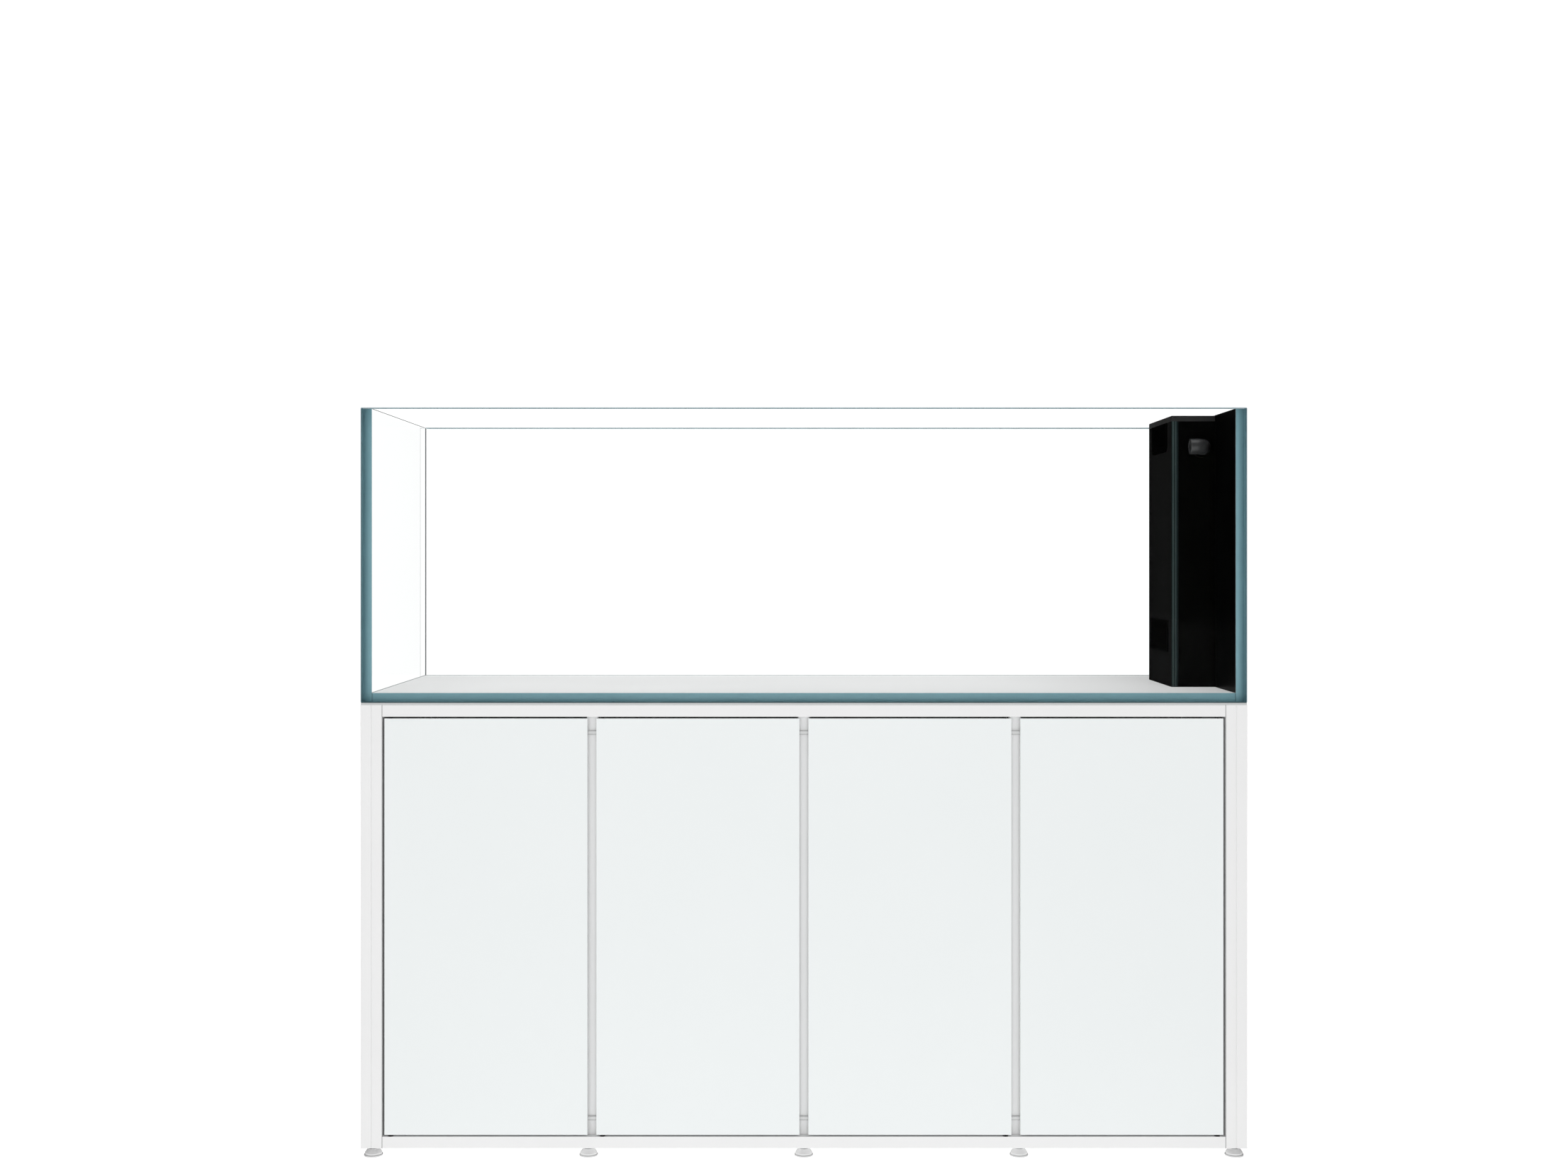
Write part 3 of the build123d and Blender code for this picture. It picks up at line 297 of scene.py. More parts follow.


# %% [markdown]
# ## Powder-coated frame
# The posts, rails, mullions and beams are aluminium profiles with a white powder coat. Powder melts
# into a skin with a very fine orange peel, so the sheen is satin. Two sizes of noise make that
# skin: one for the peel and a slow one for the drift in thickness that shows as a change of sheen.
# Where a rail meets a post the rounded edges leave a narrow groove, and its shade is painted as a
# grey hairline on the outer faces.

# %% Powder coat
PEEL_SCALE = 1400.0
PEEL_DEPTH = 0.00003
GROOVE_SHADE_HALF = 0.0005
OUTER_SKIN = 0.0015
SATIN = (0.42, 0.12)
WHITE = (grey(0.82), grey(0.85))
MULLION_LIT_WHITE = (grey(0.925), grey(0.955))
powder_coat = mottled("white_powder_coat", 6.0, WHITE, SATIN, Specular_IOR_Level=0.35)
# Painted light: the mullions sit back in shade between the doors, so they get a lighter copy of the
# coat.
mullion_lit_coat = mottled("white_mullion_coat", 6.0, MULLION_LIT_WHITE, SATIN, Specular_IOR_Level=0.35)
for coat in (powder_coat, mullion_lit_coat):
    coat.bump(coat.place.noise(PEEL_SCALE, 3.0), PEEL_DEPTH, 0.35)
post_inner, post_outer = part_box("post_rear_right")
along, back = powder_coat.place.axis("X"), powder_coat.place.axis("Y")
# Painted shade: a grey hairline where a rail meets a post, on the front and on the ends.
front_groove_shade = along.beside(post_inner.x, GROOVE_SHADE_HALF) * back.beside(post_outer.y, OUTER_SKIN)
end_groove_shade = back.beside(post_inner.y, GROOVE_SHADE_HALF) * along.beside(post_outer.x, OUTER_SKIN)
powder_coat.feed("Base Color", (front_groove_shade + end_groove_shade).between(powder_coat.tone, grey(0.13)))
profiles = [n for n in nodes if n.startswith("post_") or "_rail_" in n]
dress(powder_coat, *profiles, "end_rails", "cross_beams")
dress(mullion_lit_coat, "mullions")

# %% [markdown]
# ## Gloss panels
# The doors and fixed panels are flat and highly polished, very slightly cool in colour. A hard
# clear coat over a white body gives the sharp gloss, and a faint slow ripple keeps large
# reflections from looking like a mirror's.

# %% Doors and panels
DOORS = [f"door_{n}" for n in range(1, 5)]
HARD_COAT = {"Coat_Roughness": 0.04, "Coat_IOR": 1.5, "Specular_IOR_Level": 0.3}
gloss_panel = Finish("white_gloss_panel", **HARD_COAT)
ripple = gloss_panel.place.noise(4.0)
gloss_panel.feed("Base Color", ripple.between((0.837, 0.869, 0.869), (0.857, 0.884, 0.884)))
gloss_panel.feed("Roughness", 0.16 + gloss_panel.place.noise(18.0) * 0.06)
gloss_panel.feed("Coat Weight", 0.25 + ripple * 0.1)
gloss_panel.bump(ripple, 0.0004, 0.06)
dress(gloss_panel, "side_panel_left", "side_panel_right", "rear_panels", *DOORS)

# %% [markdown]
# ## Boards, mat and bushes
# The deck and the base board are pale foamed board with a fine pebbled face. The mat under the
# glass is closed-cell foam: its cut edge shows tiny cells, which a Voronoi pattern gives. The
# bushes are plain black.

# %% Boards, mat and bushes
CELL_SCALE = 900.0
PALE = ((0.62, 0.62, 0.60), (0.70, 0.70, 0.69))
pale_board = mottled("pale_board", 220.0, PALE, (0.55, 0.15), 4.0, Specular_IOR_Level=0.3)
pale_board.bump(pale_board.noise, 0.0001, 0.4)
dress(pale_board, "top_deck", "base_board")

foam_mat = Finish("foam_mat", Specular_IOR_Level=0.2)
cell_inputs = {"Vector": foam_mat.place, "Scale": CELL_SCALE}
cells = foam_mat.place.node("ShaderNodeTexVoronoi", inputs=cell_inputs)
foam_mat.feed("Base Color", cells.between((0.55, 0.56, 0.56), (0.63, 0.64, 0.64)))
foam_mat.feed("Roughness", 0.8 + cells * 0.15)
foam_mat.bump(cells, 0.0003, 0.6)
dress(foam_mat, "levelling_mat")

bush_plastic = mottled("black_bush", 500.0, (grey(0.012), grey(0.03)), (0.4, 0.2))
dress(bush_plastic, "pivot_bushes")

# %% [markdown]
# ## Zinc-plated steel
# Brackets and sockets are steel with bright zinc. Rolling leaves a grain along the sheet, so the
# noise is stretched, and the plating's crystals give a slow change of tone. The pivot pins of the
# doors are painted dark as shade, so that they sink into the shade of the door gaps. The catch
# plates are painted grey, with painted shade darkening their upper and lower edges.

# %% Zinc
CATCH_HEIGHT = 0.0087
CATCH_UNSHADED = 0.0046
zinc = Finish("zinc_plate", Metallic=1.0)
brushing = zinc.place.stretched(900.0, 900.0, 60.0).noise(1.0, 3.0)
crystals = zinc.place.noise(70.0)
zinc.feed("Base Color", crystals.between((0.56, 0.57, 0.58), (0.70, 0.71, 0.73)))
zinc.feed("Roughness", 0.26 + brushing * 0.2)
zinc.bump(brushing, 0.00005, 0.3)
dress(zinc, "angle_brackets", "foot_sockets")

# Painted shade: the door pins are darkened so that they sink into the shade of the door gaps.
PIN_GAP_SHADE = (grey(0.07), (0.16, 0.16, 0.165))
dull_zinc = mottled("dull_zinc", 90.0, PIN_GAP_SHADE, (0.38, 0.2), 3.0, Metallic=1.0)
dress(dull_zinc, *[f"{door}_fittings" for door in DOORS])

PAINT = (grey(0.74), grey(0.80))
catch_paint = mottled("catch_paint", 300.0, PAINT, (0.4, 0.15), 3.0, Specular_IOR_Level=0.25)
plate_low, plate_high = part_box("catch_plates")
from_half_height = catch_paint.place.axis("Z") - (plate_low.z + plate_high.z) / 2
plate_centre = (plate_high.z - plate_low.z - CATCH_HEIGHT) / 2
# Painted shade: the plates' upper and lower edges are drawn a darker grey.
between_shade_lines = from_half_height.beside(plate_centre, CATCH_UNSHADED / 2)
catch_paint.feed("Base Color", between_shade_lines.between(grey(0.58), catch_paint.tone))
dress(catch_paint, "catch_plates")

# %% [markdown]
# ## Levelling feet
# Each foot is a white moulded cone on a zinc stud. One solid holds both, so the height on the piece
# decides which finish shows, and a saw wave up the stud stands for the thread, whose pitch is in
# millimetres. The cone's upper part is painted greyer as shade, because little light gets under the
# frame, and a line of painted shade lies in the corner above the flange.

# %% Feet
FOOT_FLANGE = 0.003
FOOT_SHOULDER = 0.007
FLANGE_SHADE_HALF = 0.0005
HALF_PITCH = 0.75
THREAD_DEPTH = 0.0006
MILLIMETRES = 1000.0
foot_finish = Finish("levelling_foot", Specular_IOR_Level=0.4)
height = foot_finish.place.axis("Z")
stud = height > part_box("foot_sockets")[0].z
speckle = foot_finish.place.noise(600.0)
moulded = speckle.between(grey(0.765), grey(0.825))
# Painted shade: greyer above the shoulder, and a dark line in the corner above the flange.
moulded = (height > FOOT_SHOULDER).between(moulded, grey(0.72))
moulded = height.beside(FOOT_FLANGE, FLANGE_SHADE_HALF).between(moulded, grey(0.50))
foot_finish.feed("Base Color", stud.between(moulded, (0.6, 0.61, 0.63)))
foot_finish.feed("Metallic", stud)
foot_finish.feed("Roughness", 0.42 + speckle * 0.1 - stud * 0.15)
thread = (height * MILLIMETRES).sum("PINGPONG", HALF_PITCH)
foot_finish.bump(thread * stud, THREAD_DEPTH, 0.8)
feet = [f"foot_{side}_{n}" for side in ("front", "rear") for n in range(1, 6)]
dress(foot_finish, *feet)

# %% [markdown]
# ## Glass
# The panes are low-iron glass: clear through the face, teal where the eye looks along the sheet.
# Absorption would give that, but it needs a long path and many bounces, and the polished edge is
# what a buyer sees. So the faces of each pane are sorted by the way they point: the large faces are
# clear, the ground edges carry the teal for an eye that looks into them and fade at a glancing
# angle, and the narrow polished arrises catch more light.

# %% Glass finishes
UPRIGHT_DRAW = (4.0, 4.0, 1.2)
EDGE_TEAL = ((0.115, 0.215, 0.245), (0.145, 0.255, 0.285))
END_TEAL = ((0.12, 0.235, 0.275), (0.15, 0.275, 0.315))
ARRIS_TEAL = ((0.28, 0.37, 0.40), (0.34, 0.43, 0.46))
RIM_TEAL = ((0.03, 0.045, 0.048), (0.045, 0.06, 0.064))
UNDER_SHADE_TEAL = ((0.07, 0.105, 0.112), (0.085, 0.125, 0.132))
PANE_FOOT_TEAL = ((0.12, 0.22, 0.25), (0.15, 0.26, 0.29))
PANE_FOOT_PAINTED_GLOW = ((0.38, 0.80, 0.95), (0.46, 0.90, 1.0))
CLEAR = {"Roughness": 0.0, "IOR": 1.02, "Transmission_Weight": 1.0, "Coat_Weight": 0.04}
DRAWN = {"stretch": UPRIGHT_DRAW, "Specular_IOR_Level": 0.3}
PANE_FOOT = {"Specular_IOR_Level": 0.1, "Emission_Strength": 0.13}
clear_glass = Finish("clear_glass", **CLEAR)
melt = clear_glass.place.noise(1.5)
clear_glass.feed("Base Color", melt.between((0.99, 0.998, 0.996), (0.995, 1.0, 0.999)))
glass_edge = mottled("glass_edge", 3.0, EDGE_TEAL, (0.1, 0.1), **DRAWN)
glancing = glass_edge.place.node("ShaderNodeLayerWeight", inputs={"Blend": 0.5}, output="Facing")
glass_edge.feed("Alpha", glancing.ramp(0.9, 0.5))
pane_end = mottled("pane_end", 3.0, END_TEAL, (0.1, 0.1), **DRAWN)
arris = mottled("polished_arris", 30.0, ARRIS_TEAL, (0.08, 0.08), Specular_IOR_Level=0.6)
rim_line = mottled("rim_line", 30.0, RIM_TEAL, (0.1, 0.08), Specular_IOR_Level=0.1)
# Painted shade: the front pane's lower arris faces the mat and is drawn darker.
under_edge = mottled("under_edge", 40.0, UNDER_SHADE_TEAL, (0.3, 0.1), Specular_IOR_Level=0.2)
# Painted light: the panes' feet lie on the mat and get no light, so they are given a teal glow.
pane_foot = mottled("pane_foot", 5.0, PANE_FOOT_TEAL, (0.2, 0.1), **PANE_FOOT)
pane_foot.feed("Emission Color", pane_foot.noise.between(*PANE_FOOT_PAINTED_GLOW))
edges = (glass_edge, pane_end, arris, rim_line, under_edge, pane_foot)
print("edge finishes:", ", ".join(finish.material.name for finish in edges))

# %% [markdown]
# The tank's floor lies on the mat and shows it pale. It is drawn opaque with a little painted glow,
# because clear glass that touches another solid comes out black, and painted shade dims it towards
# the black end wall.

# %% Tank floor
FLOOR_WHITE = ((0.81, 0.815, 0.815), (0.84, 0.845, 0.845))
TANK_FLOOR_GLOW = {"Specular_IOR_Level": 0.04, "Emission_Strength": 0.47}
DIMS_FROM, DIMS_TO = 0.3, 0.9
tank_floor = mottled("tank_floor", 3.0, FLOOR_WHITE, (0.12, 0.06), **TANK_FLOOR_GLOW)
near_black = tank_floor.place.axis("X").ramp(DIMS_FROM, DIMS_TO)
# Painted shade darkens the floor towards the black end wall, and the painted glow falls with it.
painted_wall_shade = near_black * near_black * 0.5
glow = tank_floor.noise.between((0.97, 0.98, 0.98), grey(1.0))
tank_floor.feed("Base Color", painted_wall_shade.between(tank_floor.tone, grey(0.5)))
tank_floor.feed("Emission Color", painted_wall_shade.between(glow, grey(0.45)))
print(tank_floor.material.name, "dims past", DIMS_FROM, "m")

# %% [markdown]
# The rear pane's top edge fades past the end panes, where the eye looks through two more sheets to
# reach it.

# %% The far rim
FAR_TEAL = ((0.34, 0.44, 0.47), (0.42, 0.52, 0.55))
FADED = 0.12
far_rim = mottled("far_rim", 30.0, FAR_TEAL, (0.08, 0.08), Specular_IOR_Level=0.6)
within_ends = abs(far_rim.place.axis("X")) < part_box("right_pane")[0].x
far_rim.feed("Alpha", FADED + within_ends * (1 - FADED))
print(far_rim.material.name, "fades to", FADED)

# %% [markdown]
# An end pane's bonded rear face shows nothing to an eye inside the sheet. From behind, past a small
# angle, it throws back the teal of the whole sheet, which is total reflection, and a Fresnel node
# knows on which side it is.

# %% Bonded edges
INSIDE_OUT = 0.35
bonded_edge = mottled("bonded_edge", 3.0, EDGE_TEAL, (0.15, 0.1), Specular_IOR_Level=0.1)
thrown_back = bonded_edge.place.node("ShaderNodeFresnel", inputs={"IOR": INSIDE_OUT})
bonded_edge.feed("Alpha", thrown_back.ramp(0.3, 0.6))
print(bonded_edge.material.name, "throws light back")

# %% Sort the faces of the panes
FLAT = 0.9
SLANT = 0.4


def edge_finish(name, thin, face, inner):
    """The finish of a face that isn't one of the two large ones."""
    normal = face.normal
    slanted = abs(normal[thin]) > SLANT
    upright = abs(normal.z) < SLANT
    to_front = normal.y < -SLANT
    if name == "front_pane" and abs(normal.x) > SLANT:
        return arris if upright and to_front else pane_end
    if name == "rear_pane" and upright:
        return clear_glass if to_front else bonded_edge
    if thin == 0 and normal.y > FLAT:
        return bonded_edge
    # The panes' feet get the painted glow.
    if normal.z < -FLAT:
        return pane_foot
    # The lower front arris gets the painted shade.
    if name == "front_pane" and normal.z < -SLANT and to_front:
        return under_edge
    if slanted and normal.z > -SLANT:
        if thin == 0:
            return rim_line if inner else clear_glass
        return far_rim if name == "rear_pane" else arris
    return glass_edge


def sort_pane_faces(name, thin, sheet):
    """Sheet faces look along the pane's thin axis, edges across it and arrises slantwise."""
    mesh = nodes[name].data
    low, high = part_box(name)
    middle = (low[thin] + high[thin]) / 2
    finishes = (
        sheet,
        glass_edge,
        arris,
        pane_end,
        pane_foot,
        under_edge,
        rim_line,
        far_rim,
        bonded_edge,
        clear_glass,
    )
    mesh.materials.clear()
    for finish in finishes:
        mesh.materials.append(finish.material)
    for face in mesh.polygons:
        inner = face.center[thin] * middle < middle**2
        large = abs(face.normal[thin]) > FLAT
        chosen = sheet if large else edge_finish(name, thin, face, inner)
        face.material_index = finishes.index(chosen)
    used = sorted({finishes[face.material_index].material.name for face in mesh.polygons})
    print(name, "finishes:", ", ".join(used))


sort_pane_faces("front_pane", 1, clear_glass)
sort_pane_faces("rear_pane", 1, clear_glass)
sort_pane_faces("left_pane", 0, clear_glass)
sort_pane_faces("right_pane", 0, clear_glass)
sort_pane_faces("bottom_pane", 2, tank_floor)

# %% [markdown]
# ## Silicone
# The joints are clear silicone against the ground edge of the glass, so from the front they show
# that edge's teal, a little deeper towards the outside.

# %% Silicone finishes
SEAM_TEAL = ((0.18, 0.36, 0.415), (0.215, 0.395, 0.45))
SHADOW_TEAL = ((0.085, 0.15, 0.17), (0.10, 0.17, 0.19))
BEAD_GREY = ((0.56, 0.59, 0.60), (0.62, 0.65, 0.66))
DEEP_GREY = ((0.13, 0.135, 0.14), (0.16, 0.165, 0.17))
BEAD_BLACK = (grey(0.002), grey(0.004))
SEAM = {"stretch": (3.0, 3.0, 1.0), "Specular_IOR_Level": 0.3}
DEEPENS_FROM, DEEPENS_TO = 0.884, 0.899
seam_silicone = mottled("silicone_seam", 2.0, SEAM_TEAL, (0.35, 0.1), **SEAM)
outwards = abs(seam_silicone.place.axis("X")).ramp(DEEPENS_FROM, DEEPENS_TO)
seam_silicone.feed("Base Color", outwards.between(seam_silicone.tone, END_TEAL[0]))
joint_shadow = mottled("joint_shadow", 60.0, SHADOW_TEAL, (0.4, 0.1), Specular_IOR_Level=0.2)
clear_silicone = mottled("clear_silicone", 25.0, BEAD_GREY, (0.25, 0.15), Specular_IOR_Level=0.3)
deep_silicone = mottled("deep_silicone", 25.0, DEEP_GREY, (0.35, 0.15), Specular_IOR_Level=0.2)
black_silicone = mottled("black_silicone", 40.0, BEAD_BLACK, (0.35, 0.15), Specular_IOR_Level=0.05)
silicones = (seam_silicone, joint_shadow, clear_silicone, deep_silicone, black_silicone)
print("silicone finishes:", ", ".join(finish.material.name for finish in silicones))

# %% [markdown]
# Four small functions serve every piece from here on: one makes a box, one picks the edges or faces
# to work on, one makes a strip with round edges, and one joins pieces and lets the whole ride.

# %% Making and joining pieces
SMOOTH_BELOW = radians(35)
TOOLED = 0.0002


def fresh_box(middle, size):
    bpy.ops.object.select_all(action="DESELECT")
    bpy.ops.mesh.primitive_cube_add(size=1, location=middle)
    box = bpy.context.object
    box.scale = size
    bpy.ops.object.transform_apply(location=True, rotation=True, scale=True)
    return box


def edit_only(piece, kind, wanted):
    """Goes into edit mode with only the wanted edges or faces selected."""
    bpy.ops.object.mode_set(mode="EDIT")
    bpy.ops.mesh.select_mode(type=kind)
    bpy.ops.mesh.select_all(action="DESELECT")
    bpy.ops.object.mode_set(mode="OBJECT")
    for item in piece.data.edges if kind == "EDGE" else piece.data.polygons:
        item.select = wanted(item)
    bpy.ops.object.mode_set(mode="EDIT")


def joint_strip(low, high):
    """A strip between two corners, with its edges tooled round."""
    low, high = Vector(low), Vector(high)
    strip = fresh_box((low + high) / 2, high - low)
    bpy.ops.object.mode_set(mode="EDIT")
    bpy.ops.mesh.select_all(action="SELECT")
    bpy.ops.mesh.bevel(offset=TOOLED, segments=2, affect="EDGES")
    bpy.ops.object.mode_set(mode="OBJECT")
    return strip


def join_pieces(pieces, name, finish, body="cabinet_and_tank"):
    """Makes one piece of several, gives it its finish and lets it ride."""
    bpy.ops.object.select_all(action="DESELECT")
    for piece in pieces:
        piece.select_set(True)
    bpy.context.view_layer.objects.active = pieces[0]
    if len(pieces) > 1:
        bpy.ops.object.join()
    whole = bpy.context.view_layer.objects.active
    bpy.ops.object.shade_smooth_by_angle(angle=SMOOTH_BELOW)
    whole.name = whole.data.name = name
    whole.data.materials.clear()
    whole.data.materials.append(finish.material)
    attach(whole, body)
    print(name, "faces:", len(whole.data.polygons))
    return whole


# %% [markdown]
# The seams fill the gaps between the panes and stand a hair off the glass. Where a floor seam meets
# an end pane, a short dark joint shows the pane's edge behind it.

# %% Silicone seams
HAIR = 0.0001
JOINT = 0.0014
end_low, end_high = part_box("left_pane")
floor_low, floor_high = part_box("bottom_pane")
front_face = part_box("front_pane")[1].y
rear_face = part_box("rear_pane")[0].y
seam_low, seam_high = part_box("silicone_seams")
joint_x = end_high.x + JOINT
low, high = seam_low.z, floor_high.z
strips = []
joints = []
for near, far in ((front_face, end_low.y), (end_high.y, rear_face)):
    fore, aft = near + HAIR, far - HAIR
    strips.append(joint_strip((joint_x, fore, low), (-joint_x, aft, high)))
    for left, right in ((end_high.x, joint_x), (-joint_x, -end_high.x)):
        joints.append(joint_strip((left + HAIR, fore, low), (right - HAIR, aft, high)))
    if near == front_face:
        for left, right in ((seam_low.x, end_high.x), (-end_high.x, seam_high.x)):
            strips.append(joint_strip((left, fore, low), (right, aft, seam_high.z)))
for left, right in ((end_high.x, floor_low.x), (floor_high.x, -end_high.x)):
    strips.append(joint_strip((left + HAIR, end_low.y, low), (right - HAIR, end_high.y, high)))
silicone_joints = join_pieces(strips, "silicone_joints", seam_silicone)
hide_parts("silicone_seams")
corner_joints = join_pieces(joints, "corner_joints", joint_shadow)

# %% [markdown]
# Inside the tank the corners have a thin bead of silicone, drawn hollow with a fingertip. A bar of
# the bead's size gets one long edge cut back in a hollow curve. At the right end, against the black
# film, the bead is black. The upright at the rear left is thicker, and greyer because the eye looks
# through more of it.

# %% Beads in the corners
BEAD = 0.0012
UPRIGHT_BEAD = 0.0022
HOLLOW_REACH = 0.92
HOLLOW_CURVE = 0.25


def inner_bead(corner, run, inward, width=BEAD):
    """A bead from a corner along run; inward holds the two ways in which it leaves the corner."""
    size = Vector(run) + Vector(inward) * width
    middle = Vector(corner) + size / 2
    bead = fresh_box(middle, [abs(v) for v in size])

    def inmost(edge):
        ends = [bead.data.vertices[v].co for v in edge.vertices]
        return all((p[a] - middle[a]) * inward[a] > 0 for p in ends for a in range(3) if inward[a])

    edit_only(bead, "EDGE", inmost)
    reach = width * HOLLOW_REACH
    bpy.ops.mesh.bevel(offset=reach, segments=4, profile=HOLLOW_CURVE, affect="EDGES")
    bpy.ops.object.mode_set(mode="OBJECT")
    return bead


inner_x = -end_high.x - HAIR
inner_y = rear_face - HAIR
bead_floor = floor_high.z + HAIR
bead_rise = (0, 0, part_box("end_film")[1].z - bead_floor)
film_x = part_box("end_film")[0].x - HAIR
box_low, box_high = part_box("overflow_weir_panel")
rear_left = (-inner_x, inner_y, bead_floor)
front_left = (-inner_x, -inner_y, bead_floor)
thick_bead = inner_bead(rear_left, bead_rise, (1, -1, 0), UPRIGHT_BEAD)
black_beads = []
for side in (-1, 1):
    corner = (film_x, side * inner_y, bead_floor)
    black_beads.append(inner_bead(corner, bead_rise, (-1, -side, 0)))
clear_beads = [
    inner_bead(rear_left, (inner_x + film_x, 0, 0), (0, -1, 1)),
    inner_bead(front_left, (0, 2 * inner_y, 0), (1, 0, 1)),
]
for start, stop in ((-inner_y, box_low.y - HAIR), (box_high.y + HAIR, inner_y)):
    corner = (film_x, start, bead_floor)
    black_beads.append(inner_bead(corner, (0, stop - start, 0), (-1, 0, 1)))
corner_beads = join_pieces(clear_beads, "corner_beads", clear_silicone)
upright_bead = join_pieces([thick_bead], "upright_bead", deep_silicone)
end_wall_beads = join_pieces(black_beads, "end_wall_beads", black_silicone)

# %% [markdown]
# ## Black end film and overflow
# The end wall is backed with black film, and the overflow box is cut from black sheet with polished
# faces. The specular level is kept low because wet-polished black shows hardly any grey from the
# front. The weir panel's face towards the tank is left matt, so that it mirrors nothing.

# %% Black finishes
FILM_BLACK = (grey(0.0012), grey(0.002))
SHEET_BLACK = (grey(0.001), grey(0.0018))
WEIR_BLACK = (grey(0.0070), grey(0.0080))
LID_BLACK = (grey(0.019), grey(0.023))
SLOT_BLACK = (grey(0.0008), grey(0.0014))
POLISHED = (0.26, 0.08)
black_film = mottled("black_film", 9.0, FILM_BLACK, POLISHED, Specular_IOR_Level=0.006)
black_sheet = mottled("black_sheet", 12.0, SHEET_BLACK, POLISHED, Specular_IOR_Level=0.006)
weir_face = mottled("weir_face", 12.0, WEIR_BLACK, (0.45, 0.1), Specular_IOR_Level=0.0)
lid_sheet = mottled("lid_sheet", 60.0, LID_BLACK, (0.3, 0.12), 3.0, Specular_IOR_Level=0.12)
slotted_black = mottled("slotted_black", 200.0, SLOT_BLACK, (0.4, 0.1), Specular_IOR_Level=0.0)
dress(black_film, "end_film")
dress(black_sheet, "overflow_weir_panel", "overflow_front_panel", "overflow_rear_panel")
dress(lid_sheet, "overflow_lid")
dress(slotted_black, "weir_comb", "intake_screen")

# %% [markdown]
# The weir panel's front edge stays bare beside the front panel. Light that runs inside the sheet
# comes out there, so two narrow teal lines stand along the edge. Their places and half widths are
# in millimetres from the panel's left face.

# %% The weir panel's bare edge
EDGE_LINES = ((4.0, 2.2), (9.4, 1.5))
EDGE_SHADE = 11.2
EDGE_DARK = (0.0024, 0.0062, 0.0062)
EDGE_DIM = (0.009, 0.0145, 0.0155)
EDGE_LIT = (0.036, 0.055, 0.054)
BARE_WITHIN = 0.001
bare_edge = Finish("bare_sheet_edge", Specular_IOR_Level=0.05)
from_left = bare_edge.place.axis("X") * MILLIMETRES - box_low.x * MILLIMETRES
lines = sum((abs(from_left - place) < half for place, half in EDGE_LINES), 0.0)
margin = (from_left > EDGE_SHADE).between(EDGE_DARK, EDGE_DIM)
bare_edge.feed("Base Color", lines.between(margin, EDGE_LIT))
bare_edge.feed("Roughness", 0.2 + lines * 0.1)
edge_mesh = nodes["overflow_weir_panel"].data
for finish in (bare_edge, weir_face):
    edge_mesh.materials.append(finish.material)
for face in edge_mesh.polygons:
    bare = face.normal.y < -FLAT and face.center.y < box_low.y + BARE_WITHIN
    face.material_index = 1 if bare else 2 if face.normal.x < -FLAT else 0
print("bare edge faces:", sum(face.material_index == 1 for face in edge_mesh.polygons))

# %% Moulded black plastic
PUMP_BLACK = ((0.018, 0.019, 0.02), (0.026, 0.027, 0.028))
ELBOW_BLACK = ((0.034, 0.035, 0.036), (0.044, 0.045, 0.046))
GLOSSY = {"sheen": (0.22, 0.08), "detail": 3.0, "Specular_IOR_Level": 0.5}
moulded_black = mottled("moulded_black", 900.0, PUMP_BLACK, **GLOSSY)
elbow_black = mottled("elbow_black", 700.0, ELBOW_BLACK, **GLOSSY)
for plastic in (moulded_black, elbow_black):
    plastic.bump(plastic.noise, 0.00005, 0.4)
dress(moulded_black, "return_pump")
dress(elbow_black, "return_elbow")

# %% [markdown]
# ## Plumbing and sump
# The pipes are grey moulded plastic, the return outlet's flange in the tank is black, and the
# valve's lever is red so that it can be found in the dark cabinet. The sump is thinner glass with
# its edges left ground.

# %% Plumbing
PIPE_GREY = ((0.10, 0.107, 0.113), (0.13, 0.138, 0.145))
LEVER_RED = ((0.36, 0.018, 0.014), (0.44, 0.026, 0.02))
OUTLET_ABOVE = 0.3
grey_pipe = mottled("grey_pipe", 150.0, PIPE_GREY, (0.34, 0.12), 3.0, Specular_IOR_Level=0.45)
dress(grey_pipe, "bulkheads", "standpipes", "return_pipe", "drain_lines")
fittings = nodes["bulkheads"].data
fittings.materials.append(black_sheet.material)
for face in fittings.polygons:
    face.material_index = 1 if face.center.z > floor_high.z + OUTLET_ABOVE else 0
print("black faces on the outlet:", sum(face.material_index for face in fittings.polygons))
red_lever = mottled("red_lever", 120.0, LEVER_RED, (0.3, 0.1), Specular_IOR_Level=0.5)
dress(red_lever, "valve_lever")

# %% Sump
GROUND_TEAL = ((0.20, 0.34, 0.35), (0.27, 0.42, 0.43))
SUMP_FLOOR = ((0.50, 0.54, 0.535), (0.56, 0.59, 0.585))
EDGE_SPAN = 0.0085
FLOOR_WITHIN = 0.009
sump_edge = mottled("sump_edge", 90.0, GROUND_TEAL, (0.45, 0.15), 3.0, Specular_IOR_Level=0.3)
sump_floor = mottled("sump_floor", 5.0, SUMP_FLOOR, (0.15, 0.1), Specular_IOR_Level=0.2)


def sort_sump_faces():
    """Sump glass is eight millimetres thick: a face that narrow is an edge. The floor lies low."""
    mesh = nodes["sump_tank"].data
    floor_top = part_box("sump_tank")[0].z + FLOOR_WITHIN
    mesh.materials.clear()
    for finish in (clear_glass, sump_edge, sump_floor):
        mesh.materials.append(finish.material)
    for face in mesh.polygons:
        points = [mesh.vertices[v].co for v in face.vertices]
        spans = sorted(max(p[a] for p in points) - min(p[a] for p in points) for a in range(3))
        face.material_index = 1 if spans[1] < EDGE_SPAN else 0
        if abs(face.normal.z) > FLAT and face.center.z < floor_top and spans[1] > EDGE_SPAN:
            face.material_index = 2
    print("sump edge faces:", sum(face.material_index == 1 for face in mesh.polygons))


sort_sump_faces()

